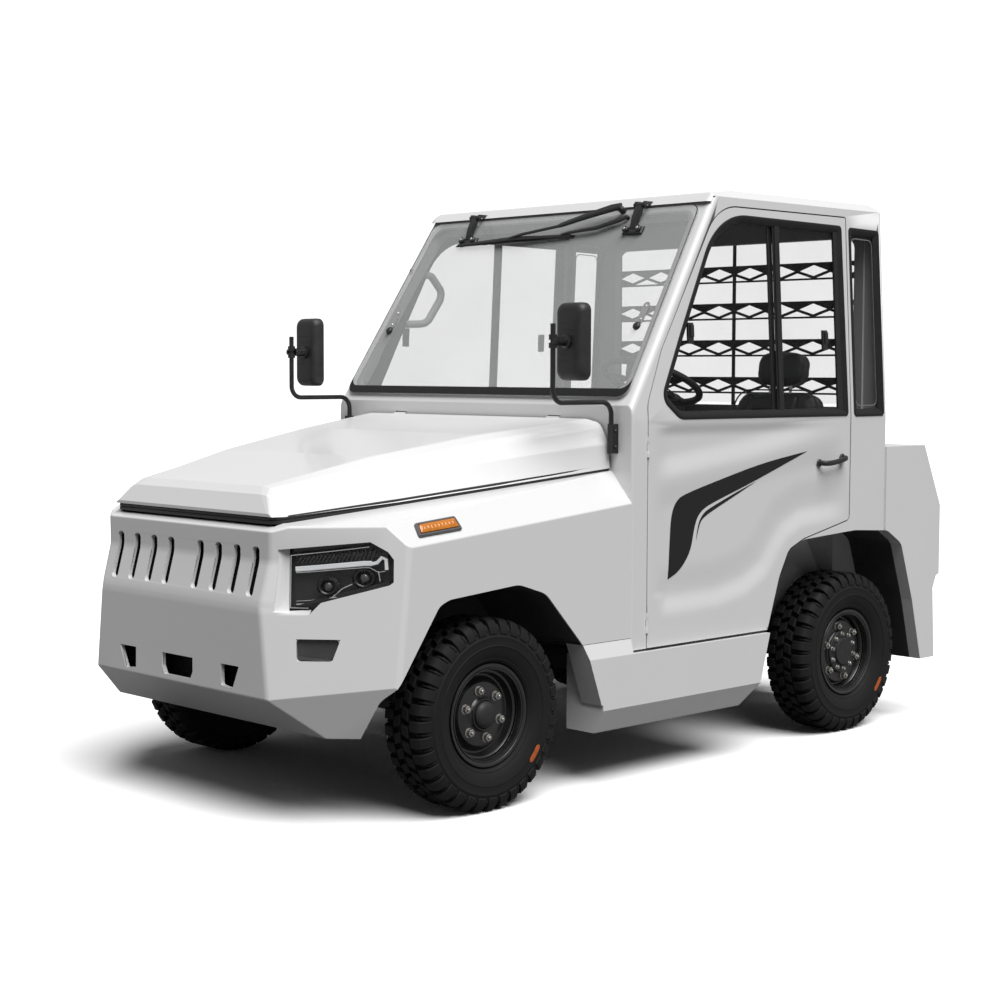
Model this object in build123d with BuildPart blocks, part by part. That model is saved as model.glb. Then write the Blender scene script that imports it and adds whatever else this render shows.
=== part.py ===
"""Airport baggage tug with a two-seat cab, built piece by piece.

Millimetres. +X is forward, +Y the vehicle's left, +Z up; the origin is on the ground, midway along the
whole length, tow coupling included. Lengths along the vehicle are stations measured forward from the
front axle, and ahead() turns a station into an X."""

from build123d import *

import os
from itertools import combinations, product
from math import atan2, cos, degrees, hypot, pi, radians, sin

os.makedirs("parts", exist_ok=True)


def save(piece, name):
    """Labels a finished piece and writes it as its own STEP file."""
    piece.part.label = name
    export_step(piece.part, f"parts/{name}.step")


# ---------------------------------------------------------------- overall layout
wheelbase = 2010.0
front_overhang = 697.0  # front axle to the fold across the nose
rear_overhang = 572.0  # rear axle to the tail's furthest face
hitch_reach = 98.0  # tow coupling behind the tail
half_width = 800.0  # flank of the fenders, cab and tail
moving_gap = 5.0  # between a moving panel and what stands round it
touch_gap = 0.3  # between curved faces that all but touch

length = front_overhang + wheelbase + rear_overhang + hitch_reach
front_axle_x = length / 2 - front_overhang
rear_station = -wheelbase


def ahead(station):
    """X of a station measured forward from the front axle."""
    return front_axle_x + station


# ---------------------------------------------------------------- wheels, axles and steering
tyre_radius = 320.0
tyre_width = 200.0
front_half_track = 686.0
rear_half_track = 667.0
rim_radius = 158.0  # seat of the beads
rim_width = 156.0
rim_wall = 8.0
rim_flange = 13.0
disc_thickness = 10.0
disc_offset = 44.0  # wheel centre plane to the disc's outer face
hub_radius = 52.0
hub_cap_radius = 40.0
hub_cap_reach = 28.0
spindle_radius = 25.0
running_fit = 0.05
kingpin_radius = 18.0
kingpin_inset = 20.0  # inboard of the tyre's inner face
kingpin_height = 150.0
boss_radius = 34.0
boss_height = 76.0
steer_arm = 150.0
tie_rod_radius = 10.0
beam_width = 76.0
beam_height = 76.0
axle_tube_radius = 52.0
differential_radius = 145.0

# ---------------------------------------------------------------- frame
rail_inner = 300.0
rail_width = 62.0
rail_bottom = 398.0
rail_top = 468.0
rail_front_station = 560.0
step_reach = half_width + 15.0
step_inner = step_reach - 175.0
# station and half length of each
outriggers = ((460.0, step_inner + 10), (-560.0, step_inner), (-1390.0, step_inner))
engine_bearer_stations = (-260.0, 140.0)
engine_size = (620.0, 500.0, 440.0)
engine_station = -60.0
engine_low_z = 480.0
outrigger_width = 60.0

# ---------------------------------------------------------------- front body
body_wall = 6.0
nose_half = 486.0
nose_low_z = 418.0
nose_fold_z = 707.0
brow_station = 666.0
brow_half = 458.0
brow_z = 940.0
shelf_front_z = 943.0  # the shelf between the brow and the hood's lip
shelf_rear_station = 604.0
shelf_rear_z = 966.0
skirt_station = 545.0
skirt_half = 587.0
skirt_z = 292.0
corner_station = 399.0
corner_z = 675.0
cab_station = -650.0  # fender's rear end and the cab's front face
fender_rear_z = 987.0
fender_front_z = 895.0
shoulder_half = 706.0
shoulder_rear_z = 1094.0
fender_low_z = 515.0

# ---------------------------------------------------------------- cab
cab_wall = 40.0
cab_floor_z = 470.0
floor_thickness = 30.0
belt_z = 1270.0
cab_top_z = 2082.0
cant_z = cab_top_z - 32.0
cant_half = 757.0
cab_rear_station = -2187.0
screen_low_station = -671.0
screen_low_z = 1359.0
screen_high_station = -1112.0
screen_high_z = 2049.0
roof_crown_z = cab_top_z + 30.0
roof_wall = 6.0
well_half = 528.0  # inner side of the wheel wells
well_top_wall = 12.0

# ---------------------------------------------------------------- tail
deck_z = 1142.0


def plane_facing(a, b, c, inside):
    """A point and the unit normal of the plane through three points, turned away from the point inside."""
    normal = (Vector(*b) - Vector(*a)).cross(Vector(*c) - Vector(*a)).normalized()
    if normal.dot(Vector(*inside) - Vector(*a)) > 0:
        normal = normal * -1
    return a, (normal.X, normal.Y, normal.Z)


def faceted(faces, inset=0.0):
    """The body bounded by flat faces, each a point on it and its outward normal, moved in by the inset."""
    with BuildPart() as body:
        Box(5200, 2600, 5200)
        for point, normal in faces:
            split(bisect_by=Plane(origin=point, z_dir=normal).offset(-inset), keep=Keep.BOTTOM)
    return body.part


def on_face(place, face):
    """Whether a place lies on the plane of a face."""
    return abs((place - Vector(*face[0])).dot(Vector(*face[1]))) < 0.01


def rounded(body, radius, pairs):
    """The body with each fold rounded that lies between the two faces of one of the pairs."""
    with BuildPart() as eased:
        add(body)
        folds = [
            fold
            for fold in eased.edges()
            if any(on_face(fold @ 0.5, first) and on_face(fold @ 0.5, second) for first, second in pairs)
        ]
        fillet(folds, radius)
    return eased.part


def both_sides(point, normal):
    """A face and its mirror image across the vehicle's centre plane."""
    return [(point, normal), ((point[0], -point[1], point[2]), (normal[0], -normal[1], normal[2]))]


def side_profile(points, low_y, high_y, radius=0.0):
    """A prism across the vehicle, from one Y to another, with a side-view outline of stations and heights."""
    with BuildPart() as prism:
        with BuildSketch(Plane.XZ.offset(-low_y)) as outline:
            with BuildLine():
                Polyline(*[(ahead(s), z) for s, z in points], close=True)
            make_face()
            if radius:
                fillet(outline.vertices(), radius)
        extrude(amount=-(high_y - low_y))
    return prism.part


def round_profile(points, radii, low_y, high_y):
    """As side_profile, with a radius of its own at each corner."""
    with BuildPart() as prism:
        with BuildSketch(Plane.XZ.offset(-low_y)):
            with BuildLine():
                corners = [(ahead(s), z) for s, z in points]
                FilletPolyline(*corners, radius=radii, close=True)
            make_face()
        extrude(amount=-(high_y - low_y))
    return prism.part


# ================================================================ front body: fascia, fenders and shoulders
inside_front = (ahead(0), 0, 600)
front_faces = [
    ((ahead(front_overhang), 0, 600), (1, 0, 0)),
    plane_facing(
        (ahead(front_overhang), 0, nose_fold_z),
        (ahead(front_overhang), 100, nose_fold_z),
        (ahead(brow_station), 0, brow_z),
        inside_front,
    ),
    plane_facing(
        (ahead(front_overhang), 0, nose_low_z),
        (ahead(front_overhang), 100, nose_low_z),
        (ahead(skirt_station), 0, skirt_z),
        inside_front,
    ),
    plane_facing(
        (ahead(brow_station), 0, shelf_front_z),
        (ahead(brow_station), 100, shelf_front_z),
        (ahead(shelf_rear_station), 0, shelf_rear_z),
        inside_front,
    ),
]
corner_face = plane_facing(
    (ahead(front_overhang), nose_half, nose_low_z),
    (ahead(corner_station), half_width, corner_z),
    (ahead(brow_station), brow_half, brow_z),
    inside_front,
)
skirt_corner = plane_facing(
    (ahead(front_overhang), nose_half, nose_low_z),
    (ahead(corner_station + 30), half_width - 32, nose_low_z - 4),
    (ahead(skirt_station), skirt_half, skirt_z),
    inside_front,
)
flank = ((0, half_width, 600), (0, 1, 0))
shoulder = plane_facing(
    (ahead(-640), 705, 1096), (ahead(604), 464, 965), (ahead(463), 734, 961), inside_front
)
fender_band = plane_facing(
    (ahead(cab_station), half_width, fender_rear_z),
    (ahead(corner_station), half_width, fender_front_z),
    (ahead(cab_station), shoulder_half, shoulder_rear_z),
    inside_front,
)
# the upright folds either side of a corner face are softer than the rest
corner_folds = [
    (face, corner)
    for corner in both_sides(*corner_face)
    for face in (front_faces[0], front_faces[1], *both_sides(*flank))
]
corner_fold_radius = 34.0
fold_radius = 10.0
for point, normal in (corner_face, skirt_corner, flank, shoulder, fender_band):
    front_faces += both_sides(point, normal)

front_arch = [
    (486, 150), (452, 419), (251, 706), (206, 722), (-100, 746), (-226, 706), (-406, 515), (-500, 150)
]
front_arch_radii = [10, 60, 60, 60, 120, 90, 60, 10]
hood_seam = [(632, 440), (cab_station - 5, 690)]  # station and half width of the opening under the hood

# eight upright slots in the nose, four each side of a wide middle bar
slot_halves = [(84 + 100.5 * i) for i in range(4)]
slot_width = 27.0
slot_low_z = 735.0
slot_high_z = 892.0
# low openings: each row is the bottom and top outline of one opening, as (half width, height)
low_openings = [
    [(-245, 439), (-306, 431), (-342, 508), (-243, 508)],
    [(-73, 436), (73, 436), (88, 462), (88, 508), (-88, 508), (-88, 462)],
    [(245, 439), (306, 431), (342, 508), (243, 508)],
]

# a frame on the left corner face: origin on the nose's corner, X along the face, Y up it
corner_origin = Vector(ahead(front_overhang), nose_half, nose_low_z)
corner_normal = Vector(*corner_face[1])
corner_along = Vector(0, 0, 1).cross(corner_normal).normalized()


def corner_plane(side):
    """A plane on the corner face of one side, its X running outboard and rearward and its Y up."""
    origin = (corner_origin.X, side * corner_origin.Y, corner_origin.Z)
    normal = (corner_normal.X, side * corner_normal.Y, corner_normal.Z)
    along = (corner_along.X, side * corner_along.Y, corner_along.Z)
    if side < 0:
        return Plane(origin=origin, x_dir=along, z_dir=(-normal[0], -normal[1], -normal[2]))
    return Plane(origin=origin, x_dir=along, z_dir=normal)


# outline of the headlamp's window on that plane: distance from the nose's corner, height above its foot
lamp_outline = [
    (20, 470), (322, 498), (378, 468), (397, 444), (397, 374), (384, 364), (169, 307), (131, 269), (20, 276)
]
lamp_depth = 70.0
lamp_flange = 12.0  # of the lamp's case behind the wall, all round its window
corner_opening = [(92, 193), (232, 193), (206, 124), (94, 124)]

with BuildPart() as front_body:
    front_form = rounded(faceted(front_faces), corner_fold_radius, corner_folds)
    add(rounded(front_form, fold_radius, list(combinations(front_faces, 2))))
    split(bisect_by=Plane(origin=(ahead(cab_station), 0, 0), z_dir=(-1, 0, 0)), keep=Keep.BOTTOM)
    split(bisect_by=Plane(origin=(0, 0, skirt_z), z_dir=(0, 0, -1)), keep=Keep.BOTTOM)
    add(faceted(front_faces, body_wall), mode=Mode.SUBTRACT)
    with BuildSketch(Plane.XY.offset(nose_fold_z)):
        with BuildLine():
            Polyline(
                (ahead(hood_seam[0][0]), -hood_seam[0][1]),
                (ahead(hood_seam[0][0]), hood_seam[0][1]),
                (ahead(hood_seam[1][0]), hood_seam[1][1]),
                (ahead(hood_seam[1][0]), -hood_seam[1][1]),
                close=True,
            )
        make_face()
    extrude(amount=1200, mode=Mode.SUBTRACT)
    for side in (-1, 1):
        low, high = sorted((side * 560, side * (half_width + 20)))
        add(round_profile(front_arch, front_arch_radii, low, high), mode=Mode.SUBTRACT)
        add(
            side_profile([(-380, 100), (-380, fender_low_z), (-700, fender_low_z), (-700, 100)], low, high),
            mode=Mode.SUBTRACT,
        )
    with BuildSketch(Plane.YZ.offset(ahead(brow_station - 60))):
        for y in slot_halves:
            for side in (-1, 1):
                with Locations((side * y, (slot_low_z + slot_high_z) / 2)):
                    SlotOverall(slot_high_z - slot_low_z, slot_width, rotation=90)
        for outline in low_openings:
            with BuildLine():
                Polyline(*outline, close=True)
            make_face()
    extrude(amount=120, mode=Mode.SUBTRACT)
    for side in (-1, 1):
        for outline in (lamp_outline, corner_opening):
            with BuildSketch(corner_plane(side).offset(-40 * side)):
                with BuildLine():
                    Polyline(*outline, close=True)
                make_face()
            extrude(amount=80 * side, mode=Mode.SUBTRACT)
save(front_body, "front_body")

# ================================================================ headlamps behind the corner windows
with BuildPart() as headlamps:
    for side in (-1, 1):
        with BuildSketch(corner_plane(side).offset(-body_wall * side)):
            with BuildLine():
                Polyline(*lamp_outline, close=True)
            make_face()
            offset(amount=lamp_flange, mode=Mode.REPLACE)
        extrude(amount=-lamp_depth * side)
save(headlamps, "headlamps")

# ================================================================ amber lamps on the fender bands
side_lamp_length = 186.0
side_lamp_width = 56.0
side_lamp_height = 16.0
side_lamp_at = (234.0, 764.0)  # station and half width of the middle
band_point, band_normal = Vector(*fender_band[0]), Vector(*fender_band[1])


def on_band(station, y):
    """The point of the left fender band at a station and a half width."""
    x = ahead(station)
    rise = (band_normal.X * (x - band_point.X) + band_normal.Y * (y - band_point.Y)) / band_normal.Z
    return (x, y, band_point.Z - rise)


with BuildPart() as side_lamps:
    for side in (-1, 1):
        x, y, z = on_band(*side_lamp_at)
        slope = Vector(1, 0, -band_normal.X / band_normal.Z)
        normal = (band_normal.X, side * band_normal.Y, band_normal.Z)
        with BuildSketch(Plane(origin=(x, side * y, z), x_dir=slope, z_dir=normal)):
            RectangleRounded(side_lamp_length, side_lamp_width, 8)
        extrude(amount=side_lamp_height, taper=12)
save(side_lamps, "side_lamps")

# ================================================================ dark liners of the front wheel arches
liner_gap = 6.0
liner_thickness = 4.0
liner_inner = 396.0
liner_outer = half_width - body_wall

with BuildPart() as arch_liners:
    for side in (-1, 1):
        low, high = sorted((side * liner_inner, side * liner_outer))
        with BuildSketch(Plane.XZ.offset(-low)) as rim_sketch:
            with BuildLine():
                FilletPolyline(*[(ahead(s), z) for s, z in front_arch], radius=front_arch_radii, close=True)
            make_face()
            offset(amount=liner_gap + liner_thickness, mode=Mode.REPLACE)
        extrude(amount=-(high - low))
        inner_low, inner_high = sorted((side * (liner_inner + liner_thickness), side * (liner_outer + 10)))
        with BuildSketch(Plane.XZ.offset(-inner_low)):
            with BuildLine():
                FilletPolyline(*[(ahead(s), z) for s, z in front_arch], radius=front_arch_radii, close=True)
            make_face()
            offset(amount=liner_gap, mode=Mode.REPLACE)
        extrude(amount=-(inner_high - inner_low), mode=Mode.SUBTRACT)
    with Locations((front_axle_x, 0, 0)):
        Box(1400, 1700, 2 * fender_low_z, mode=Mode.SUBTRACT)
save(arch_liners, "arch_liners")

# ================================================================ hood
# sections across the hood: station, then half width and height of seam, fold, shoulder and crown
hood_sections = [  # station, fold radii, then half width and height from the side's foot up to the crown
    (642.0, (2, 3, 3), (443, 980), (439, 984), (432, 988), (420, 990)),
    (612.0, (4, 12, 12), (456, 980), (396, 1035), (380, 1043), (350, 1046)),
    (586.0, (10, 20, 30), (466, 981), (384, 1056), (362, 1066), (328, 1070)),
    (200.0, (24, 30, 40), (543, 1012), (481, 1091), (452, 1135), (400, 1156)),
    (-220.0, (24, 40, 60), (624, 1056), (586, 1137), (548, 1202), (480, 1222)),
    (-640.0, (24, 50, 60), (703, 1100), (697, 1185), (655, 1258), (590, 1271)),
]
hood_wall = 5.0
hood_lift = 6.0  # above the body's shoulders


def hood_skin(inset):
    """The closed shape under the hood's skin, each section drawn in by the inset and open downwards."""
    with BuildPart() as skin:
        for station, radii, *points in hood_sections:
            drawn = [(y - inset, z + hood_lift - inset) for y, z in points]
            if inset:
                drawn[0] = (drawn[0][0], drawn[0][1] - 30)
            reach = inset if station == hood_sections[0][0] else 0.0
            with BuildSketch(Plane.YZ.offset(ahead(station) - reach)):
                with BuildLine():
                    FilletPolyline(
                        *drawn, *[(-y, z) for y, z in reversed(drawn)], radius=[*radii, *reversed(radii)]
                    )
                    Line(drawn[0], (-drawn[0][0], drawn[0][1]))
                make_face()
        loft(ruled=True)
    return skin.part


# two concealed hinges at the hood's rear edge, their pins held in pockets of the cab's face
hood_hinge_half = 420.0
hood_hinge_station = -646.0
hood_hinge_z = 1276.0
hood_barrel_radius = 6.0
hood_barrel_length = 60.0
hood_pin_radius = 3.0
hood_pocket_width = 66.0
hood_pocket_depth = 9.0
hood_strap_length = 40.0


def bar_across(station, z, radius, half, width):
    """A round bar along Y, on both sides of the vehicle."""
    with BuildPart() as bars:
        for side in (-1, 1):
            with BuildSketch(Plane.XZ.offset(-(side * half - width / 2))):
                with Locations((ahead(station), z)):
                    Circle(radius)
            extrude(amount=-width)
    return bars.part


with BuildPart() as hood:
    add(hood_skin(0.0))
    add(hood_skin(hood_wall), mode=Mode.SUBTRACT)
    for side in (-1, 1):
        strap_x = ahead(hood_hinge_station) + hood_strap_length / 2
        with Locations((strap_x, side * hood_hinge_half, hood_hinge_z - hood_barrel_radius + 1.5)):
            Box(hood_strap_length, hood_barrel_length, 3)
    add(bar_across(hood_hinge_station, hood_hinge_z, hood_barrel_radius, hood_hinge_half, hood_barrel_length))
    add(
        bar_across(hood_hinge_station, hood_hinge_z, hood_pin_radius + running_fit, hood_hinge_half, 200),
        mode=Mode.SUBTRACT,
    )
save(hood, "hood")

# ================================================================ cab
cab_faces = [
    ((ahead(cab_station), 0, 0), (1, 0, 0)),
    ((ahead(cab_rear_station), 0, 0), (-1, 0, 0)),
    plane_facing(
        (ahead(screen_low_station), 0, screen_low_z),
        (ahead(screen_low_station), 100, screen_low_z),
        (ahead(screen_high_station), 0, screen_high_z),
        (ahead(-1400), 0, 1200),
    ),
]
screen_face = cab_faces[-1]
upper_flank = plane_facing(
    (0, half_width, belt_z), (100, half_width, belt_z), (0, cant_half, cant_z), (0, 0, belt_z)
)
cab_flanks = both_sides(*flank) + both_sides(*upper_flank)
cab_faces += cab_flanks

# door opening: station, height and corner radius, from the foot of the front edge round to the rear
door_corners = [
    (-730, 466, 8),
    (-730, 1330, 90),
    (-812, 1520, 200),
    (-1155, 2052, 200),
    (-1942, 2052, 12),
    (-1938, 859, 25),
    (-1640, 800, 60),
    (-1550, 765, 60),
    (-1494, 666, 120),
    (-1425, 466, 8),
]
window_corners = [
    (-905, 1277, 70),
    (-808, 1350, 50),
    (-918, 1574, 300),
    (-1150, 2020, 270),
    (-1906, 2012, 14),
    (-1917, 1274, 14),
]
quarter_corners = [(-1960, 1271, 14), (-1958, 2009, 14), (-2158, 2005, 14), (-2160, 1271, 14)]
rear_arch = [
    (-1300, 150, 10),
    (-1425, 470, 10),
    (-1494, 666, 120),
    (-1550, 765, 60),
    (-1640, 800, 60),
    (-1976, 817, 200),
    (-2200, 803, 60),
    (-2300, 745, 60),
    (-2386, 503, 60),
    (-2453, 251, 10),
    (-2470, 150, 10),
]
glass_thickness = 5.0
glass_depth = 14.0  # outer face of the wall to the outer face of the pane
seal_width = 4.0


def cornered(table, low_y, high_y, grow=0.0):
    """A prism across the vehicle from a table of station, height and corner radius, grown by a margin."""
    with BuildPart() as prism:
        with BuildSketch(Plane.XZ.offset(-low_y)):
            with BuildLine():
                FilletPolyline(
                    *[(ahead(s), z) for s, z, r in table], radius=[r for s, z, r in table], close=True
                )
            make_face()
            if grow:
                offset(amount=grow, mode=Mode.REPLACE)
        extrude(amount=-(high_y - low_y))
    return prism.part


def side_range(side, near, far):
    """The Y range between two half widths on one side, lower first."""
    return sorted((side * near, side * far))


with BuildPart() as cabin_space:
    add(faceted(cab_faces, cab_wall))
    with Locations((0, 0, cab_floor_z + floor_thickness - 1000)):
        Box(6000, 3000, 2000, mode=Mode.SUBTRACT)
    for side in (-1, 1):
        add(cornered(rear_arch, *side_range(side, well_half, half_width), well_top_wall), mode=Mode.SUBTRACT)
    # behind the wells the space stops at the rear wall on its own

# windscreen opening on the screen's plane: height along the slope and half width at foot and head
screen_normal = Vector(*screen_face[1])
screen_up = Vector(0, 1, 0).cross(screen_normal).normalized() * -1
screen_length = hypot(screen_low_station - screen_high_station, screen_high_z - screen_low_z)
screen_low_half = 766.0
screen_high_half = 721.0
screen_opening_margin = 34.0
screen_foot_margin = 26.0
screen_plane = Plane(
    origin=(ahead(screen_low_station), 0, screen_low_z), x_dir=(0, -1, 0), z_dir=screen_face[1]
)
screen_sign = 1 if screen_plane.y_dir.Z > 0 else -1


def screen_sheet(margin, foot_margin, depth, thickness, radius):
    """A flat sheet on the windscreen's plane, in from the screen's edge by a margin, from a depth outward."""
    with BuildPart() as sheet:
        with BuildSketch(screen_plane.offset(depth)) as outline:
            with BuildLine():
                Polyline(
                    (-screen_low_half + margin, screen_sign * foot_margin),
                    (-screen_high_half + margin, screen_sign * (screen_length - margin)),
                    (screen_high_half - margin, screen_sign * (screen_length - margin)),
                    (screen_low_half - margin, screen_sign * foot_margin),
                    close=True,
                )
            make_face()
            fillet(outline.vertices(), radius)
        extrude(amount=thickness)
    return sheet.part


# door hinges: the pin stands in the gap at the door's front edge, on the flank's own plane
door_hinge_heights = (560.0, 1180.0)
door_hinge_station = -730.0 - moving_gap / 2
door_hinge_radius = 6.0
door_hinge_relief = 7.5
door_pin_radius = 3.0
door_barrel_half = 11.7  # half height of the door's own barrel
door_hinge_half = 36.0  # half height of the whole hinge


def hinge_posts(side, radius, bands):
    """Upright round posts on the door hinge's axis, over bands of height either side of each hinge."""
    with BuildPart() as posts:
        for height in door_hinge_heights:
            for low, high in bands:
                with BuildSketch(Plane.XY.offset(height + low)):
                    with Locations((ahead(door_hinge_station), side * half_width)):
                        Circle(radius)
                extrude(amount=high - low)
    return posts.part


cab_hinge_bands = [
    (-door_hinge_half, -door_barrel_half - touch_gap),
    (door_barrel_half + touch_gap, door_hinge_half),
]
door_hinge_bands = [(-door_barrel_half, door_barrel_half)]

rear_window_half = 655.0
rear_window_low_z = 1300.0
rear_window_high_z = 1985.0
pillar_radius = 24.0
cab_rear_radius = 18.0
cab_front_radius = 8.0
cowl_half = 640.0
cowl_low_z = cab_floor_z + floor_thickness + 20
cowl_high_z = 1258.0

with BuildPart() as cab_shell:
    cab_form = faceted(cab_faces + [((0, 0, cab_top_z), (0, 0, 1)), ((0, 0, cab_floor_z), (0, 0, -1))])
    cab_form = rounded(cab_form, pillar_radius, list(product([screen_face], cab_flanks)))
    cab_form = rounded(cab_form, cab_rear_radius, list(product([cab_faces[1]], cab_flanks)))
    cab_form = rounded(cab_form, cab_front_radius, list(product([cab_faces[0]], cab_flanks + [screen_face])))
    add(cab_form)
    add(cabin_space.part, mode=Mode.SUBTRACT)
    add(screen_sheet(screen_opening_margin, screen_foot_margin, -120, 200, 45), mode=Mode.SUBTRACT)
    for side in (-1, 1):
        add(cornered(door_corners, *side_range(side, 700, 850)), mode=Mode.SUBTRACT)
        add(cornered(quarter_corners, *side_range(side, 700, 850)), mode=Mode.SUBTRACT)
        add(cornered(rear_arch, *side_range(side, well_half + 12, 850)), mode=Mode.SUBTRACT)
    with BuildSketch(Plane.YZ.offset(ahead(cab_rear_station) - 20)):
        with Locations((0, (rear_window_low_z + rear_window_high_z) / 2)):
            RectangleRounded(2 * rear_window_half, rear_window_high_z - rear_window_low_z, 45)
    extrude(amount=80, mode=Mode.SUBTRACT)
    with BuildSketch(Plane.YZ.offset(ahead(cab_station) + 20)):
        with Locations((0, (cowl_low_z + cowl_high_z) / 2)):
            Rectangle(2 * cowl_half, cowl_high_z - cowl_low_z)
    extrude(amount=-80, mode=Mode.SUBTRACT)
    for side in (-1, 1):
        relief_bands = [(-door_barrel_half - touch_gap, door_barrel_half + touch_gap)]
        add(hinge_posts(side, door_hinge_relief, relief_bands), mode=Mode.SUBTRACT)
        add(hinge_posts(side, door_hinge_radius, cab_hinge_bands))
        add(hinge_posts(side, door_pin_radius, [(-door_hinge_half, door_hinge_half)]))
        pocket_x = ahead(cab_station) - hood_pocket_depth / 2
        with Locations((pocket_x, side * hood_hinge_half, hood_hinge_z)):
            Box(hood_pocket_depth, hood_pocket_width, 2 * hood_pocket_depth + 4, mode=Mode.SUBTRACT)
        for end in (-1, 1):
            ear_y = side * hood_hinge_half + end * (hood_pocket_width / 2 + 2)
            with Locations((ahead(hood_hinge_station) - 5, ear_y, hood_hinge_z)):
                Box(18, 4, 8)
    add(bar_across(hood_hinge_station, hood_hinge_z, hood_pin_radius, hood_hinge_half, hood_pocket_width + 2))
save(cab_shell, "cab_shell")

with BuildPart() as cowl:
    with BuildSketch(Plane.YZ.offset(ahead(cab_station))):
        with Locations((0, (cowl_low_z + cowl_high_z) / 2)):
            Rectangle(2 * cowl_half, cowl_high_z - cowl_low_z)
    extrude(amount=-cab_wall)
save(cowl, "cowl")

# ================================================================ roof
roof_front_station = -1100.0
roof_front_z = 2058.0
roof_brow_rise = 40.0  # the brow leans back as much as it rises
roof_crown_station = -1290.0
roof_cant_rise = 32.0  # from the cab's top rail up to the start of the roof's side slope
roof_cant_lean = 38.0
roof_cant_half = cant_half - roof_cant_rise * (half_width - cant_half) / (cant_z - belt_z)
roof_radius = 20.0
roof_faces = both_sides(*upper_flank)
roof_faces += both_sides(
    *plane_facing(
        (0, roof_cant_half, cant_z + roof_cant_rise),
        (100, roof_cant_half, cant_z + roof_cant_rise),
        (0, cant_half - roof_cant_lean, roof_crown_z),
        (0, 0, 0),
    )
)
roof_brow_station = roof_front_station - roof_brow_rise
roof_brow_z = roof_front_z + roof_brow_rise
roof_faces += [
    ((0, 0, roof_crown_z), (0, 0, 1)),
    plane_facing(
        (ahead(roof_front_station), 0, roof_front_z),
        (ahead(roof_front_station), 100, roof_front_z),
        (ahead(roof_brow_station), 0, roof_brow_z),
        (ahead(-1500), 0, 1500),
    ),
    plane_facing(
        (ahead(roof_brow_station), 0, roof_brow_z),
        (ahead(roof_brow_station), 100, roof_brow_z),
        (ahead(roof_crown_station), 0, roof_crown_z),
        (ahead(-1500), 0, 1500),
    ),
    ((ahead(cab_rear_station) - 2, 0, 0), (-1, 0, 0)),
    plane_facing(
        (ahead(cab_rear_station) - 2, 0, cab_top_z + 12),
        (ahead(cab_rear_station) - 2, 100, cab_top_z + 12),
        (ahead(cab_rear_station) + 40, 0, roof_crown_z),
        (ahead(-1500), 0, 1500),
    ),
]
roof_hem_z = cant_z + 12.0  # the visor's lower edge, ahead of the cab's top rail
with BuildPart() as roof:
    add(rounded(faceted(roof_faces), roof_radius, list(combinations(roof_faces, 2))))
    split(bisect_by=Plane(origin=(0, 0, roof_hem_z), z_dir=(0, 0, -1)), keep=Keep.BOTTOM)
    add(faceted(roof_faces, roof_wall), mode=Mode.SUBTRACT)
    add(faceted(cab_faces + [((0, 0, cab_top_z), (0, 0, 1))]), mode=Mode.SUBTRACT)
save(roof, "roof")

# ================================================================ fixed glass: quarter and rear windows
with BuildPart() as fixed_windows:
    add(faceted(cab_flanks, glass_depth))
    add(faceted(cab_flanks, glass_depth + glass_thickness), mode=Mode.SUBTRACT)
    with BuildPart(mode=Mode.PRIVATE) as quarter_openings:
        for side in (-1, 1):
            add(cornered(quarter_corners, *side_range(side, 700, 850)))
    add(quarter_openings.part, mode=Mode.INTERSECT)
    with BuildSketch(Plane.YZ.offset(ahead(cab_rear_station) + glass_depth)):
        with Locations((0, (rear_window_low_z + rear_window_high_z) / 2)):
            RectangleRounded(2 * rear_window_half, rear_window_high_z - rear_window_low_z, 45)
    extrude(amount=glass_thickness)
save(fixed_windows, "fixed_windows")

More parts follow.
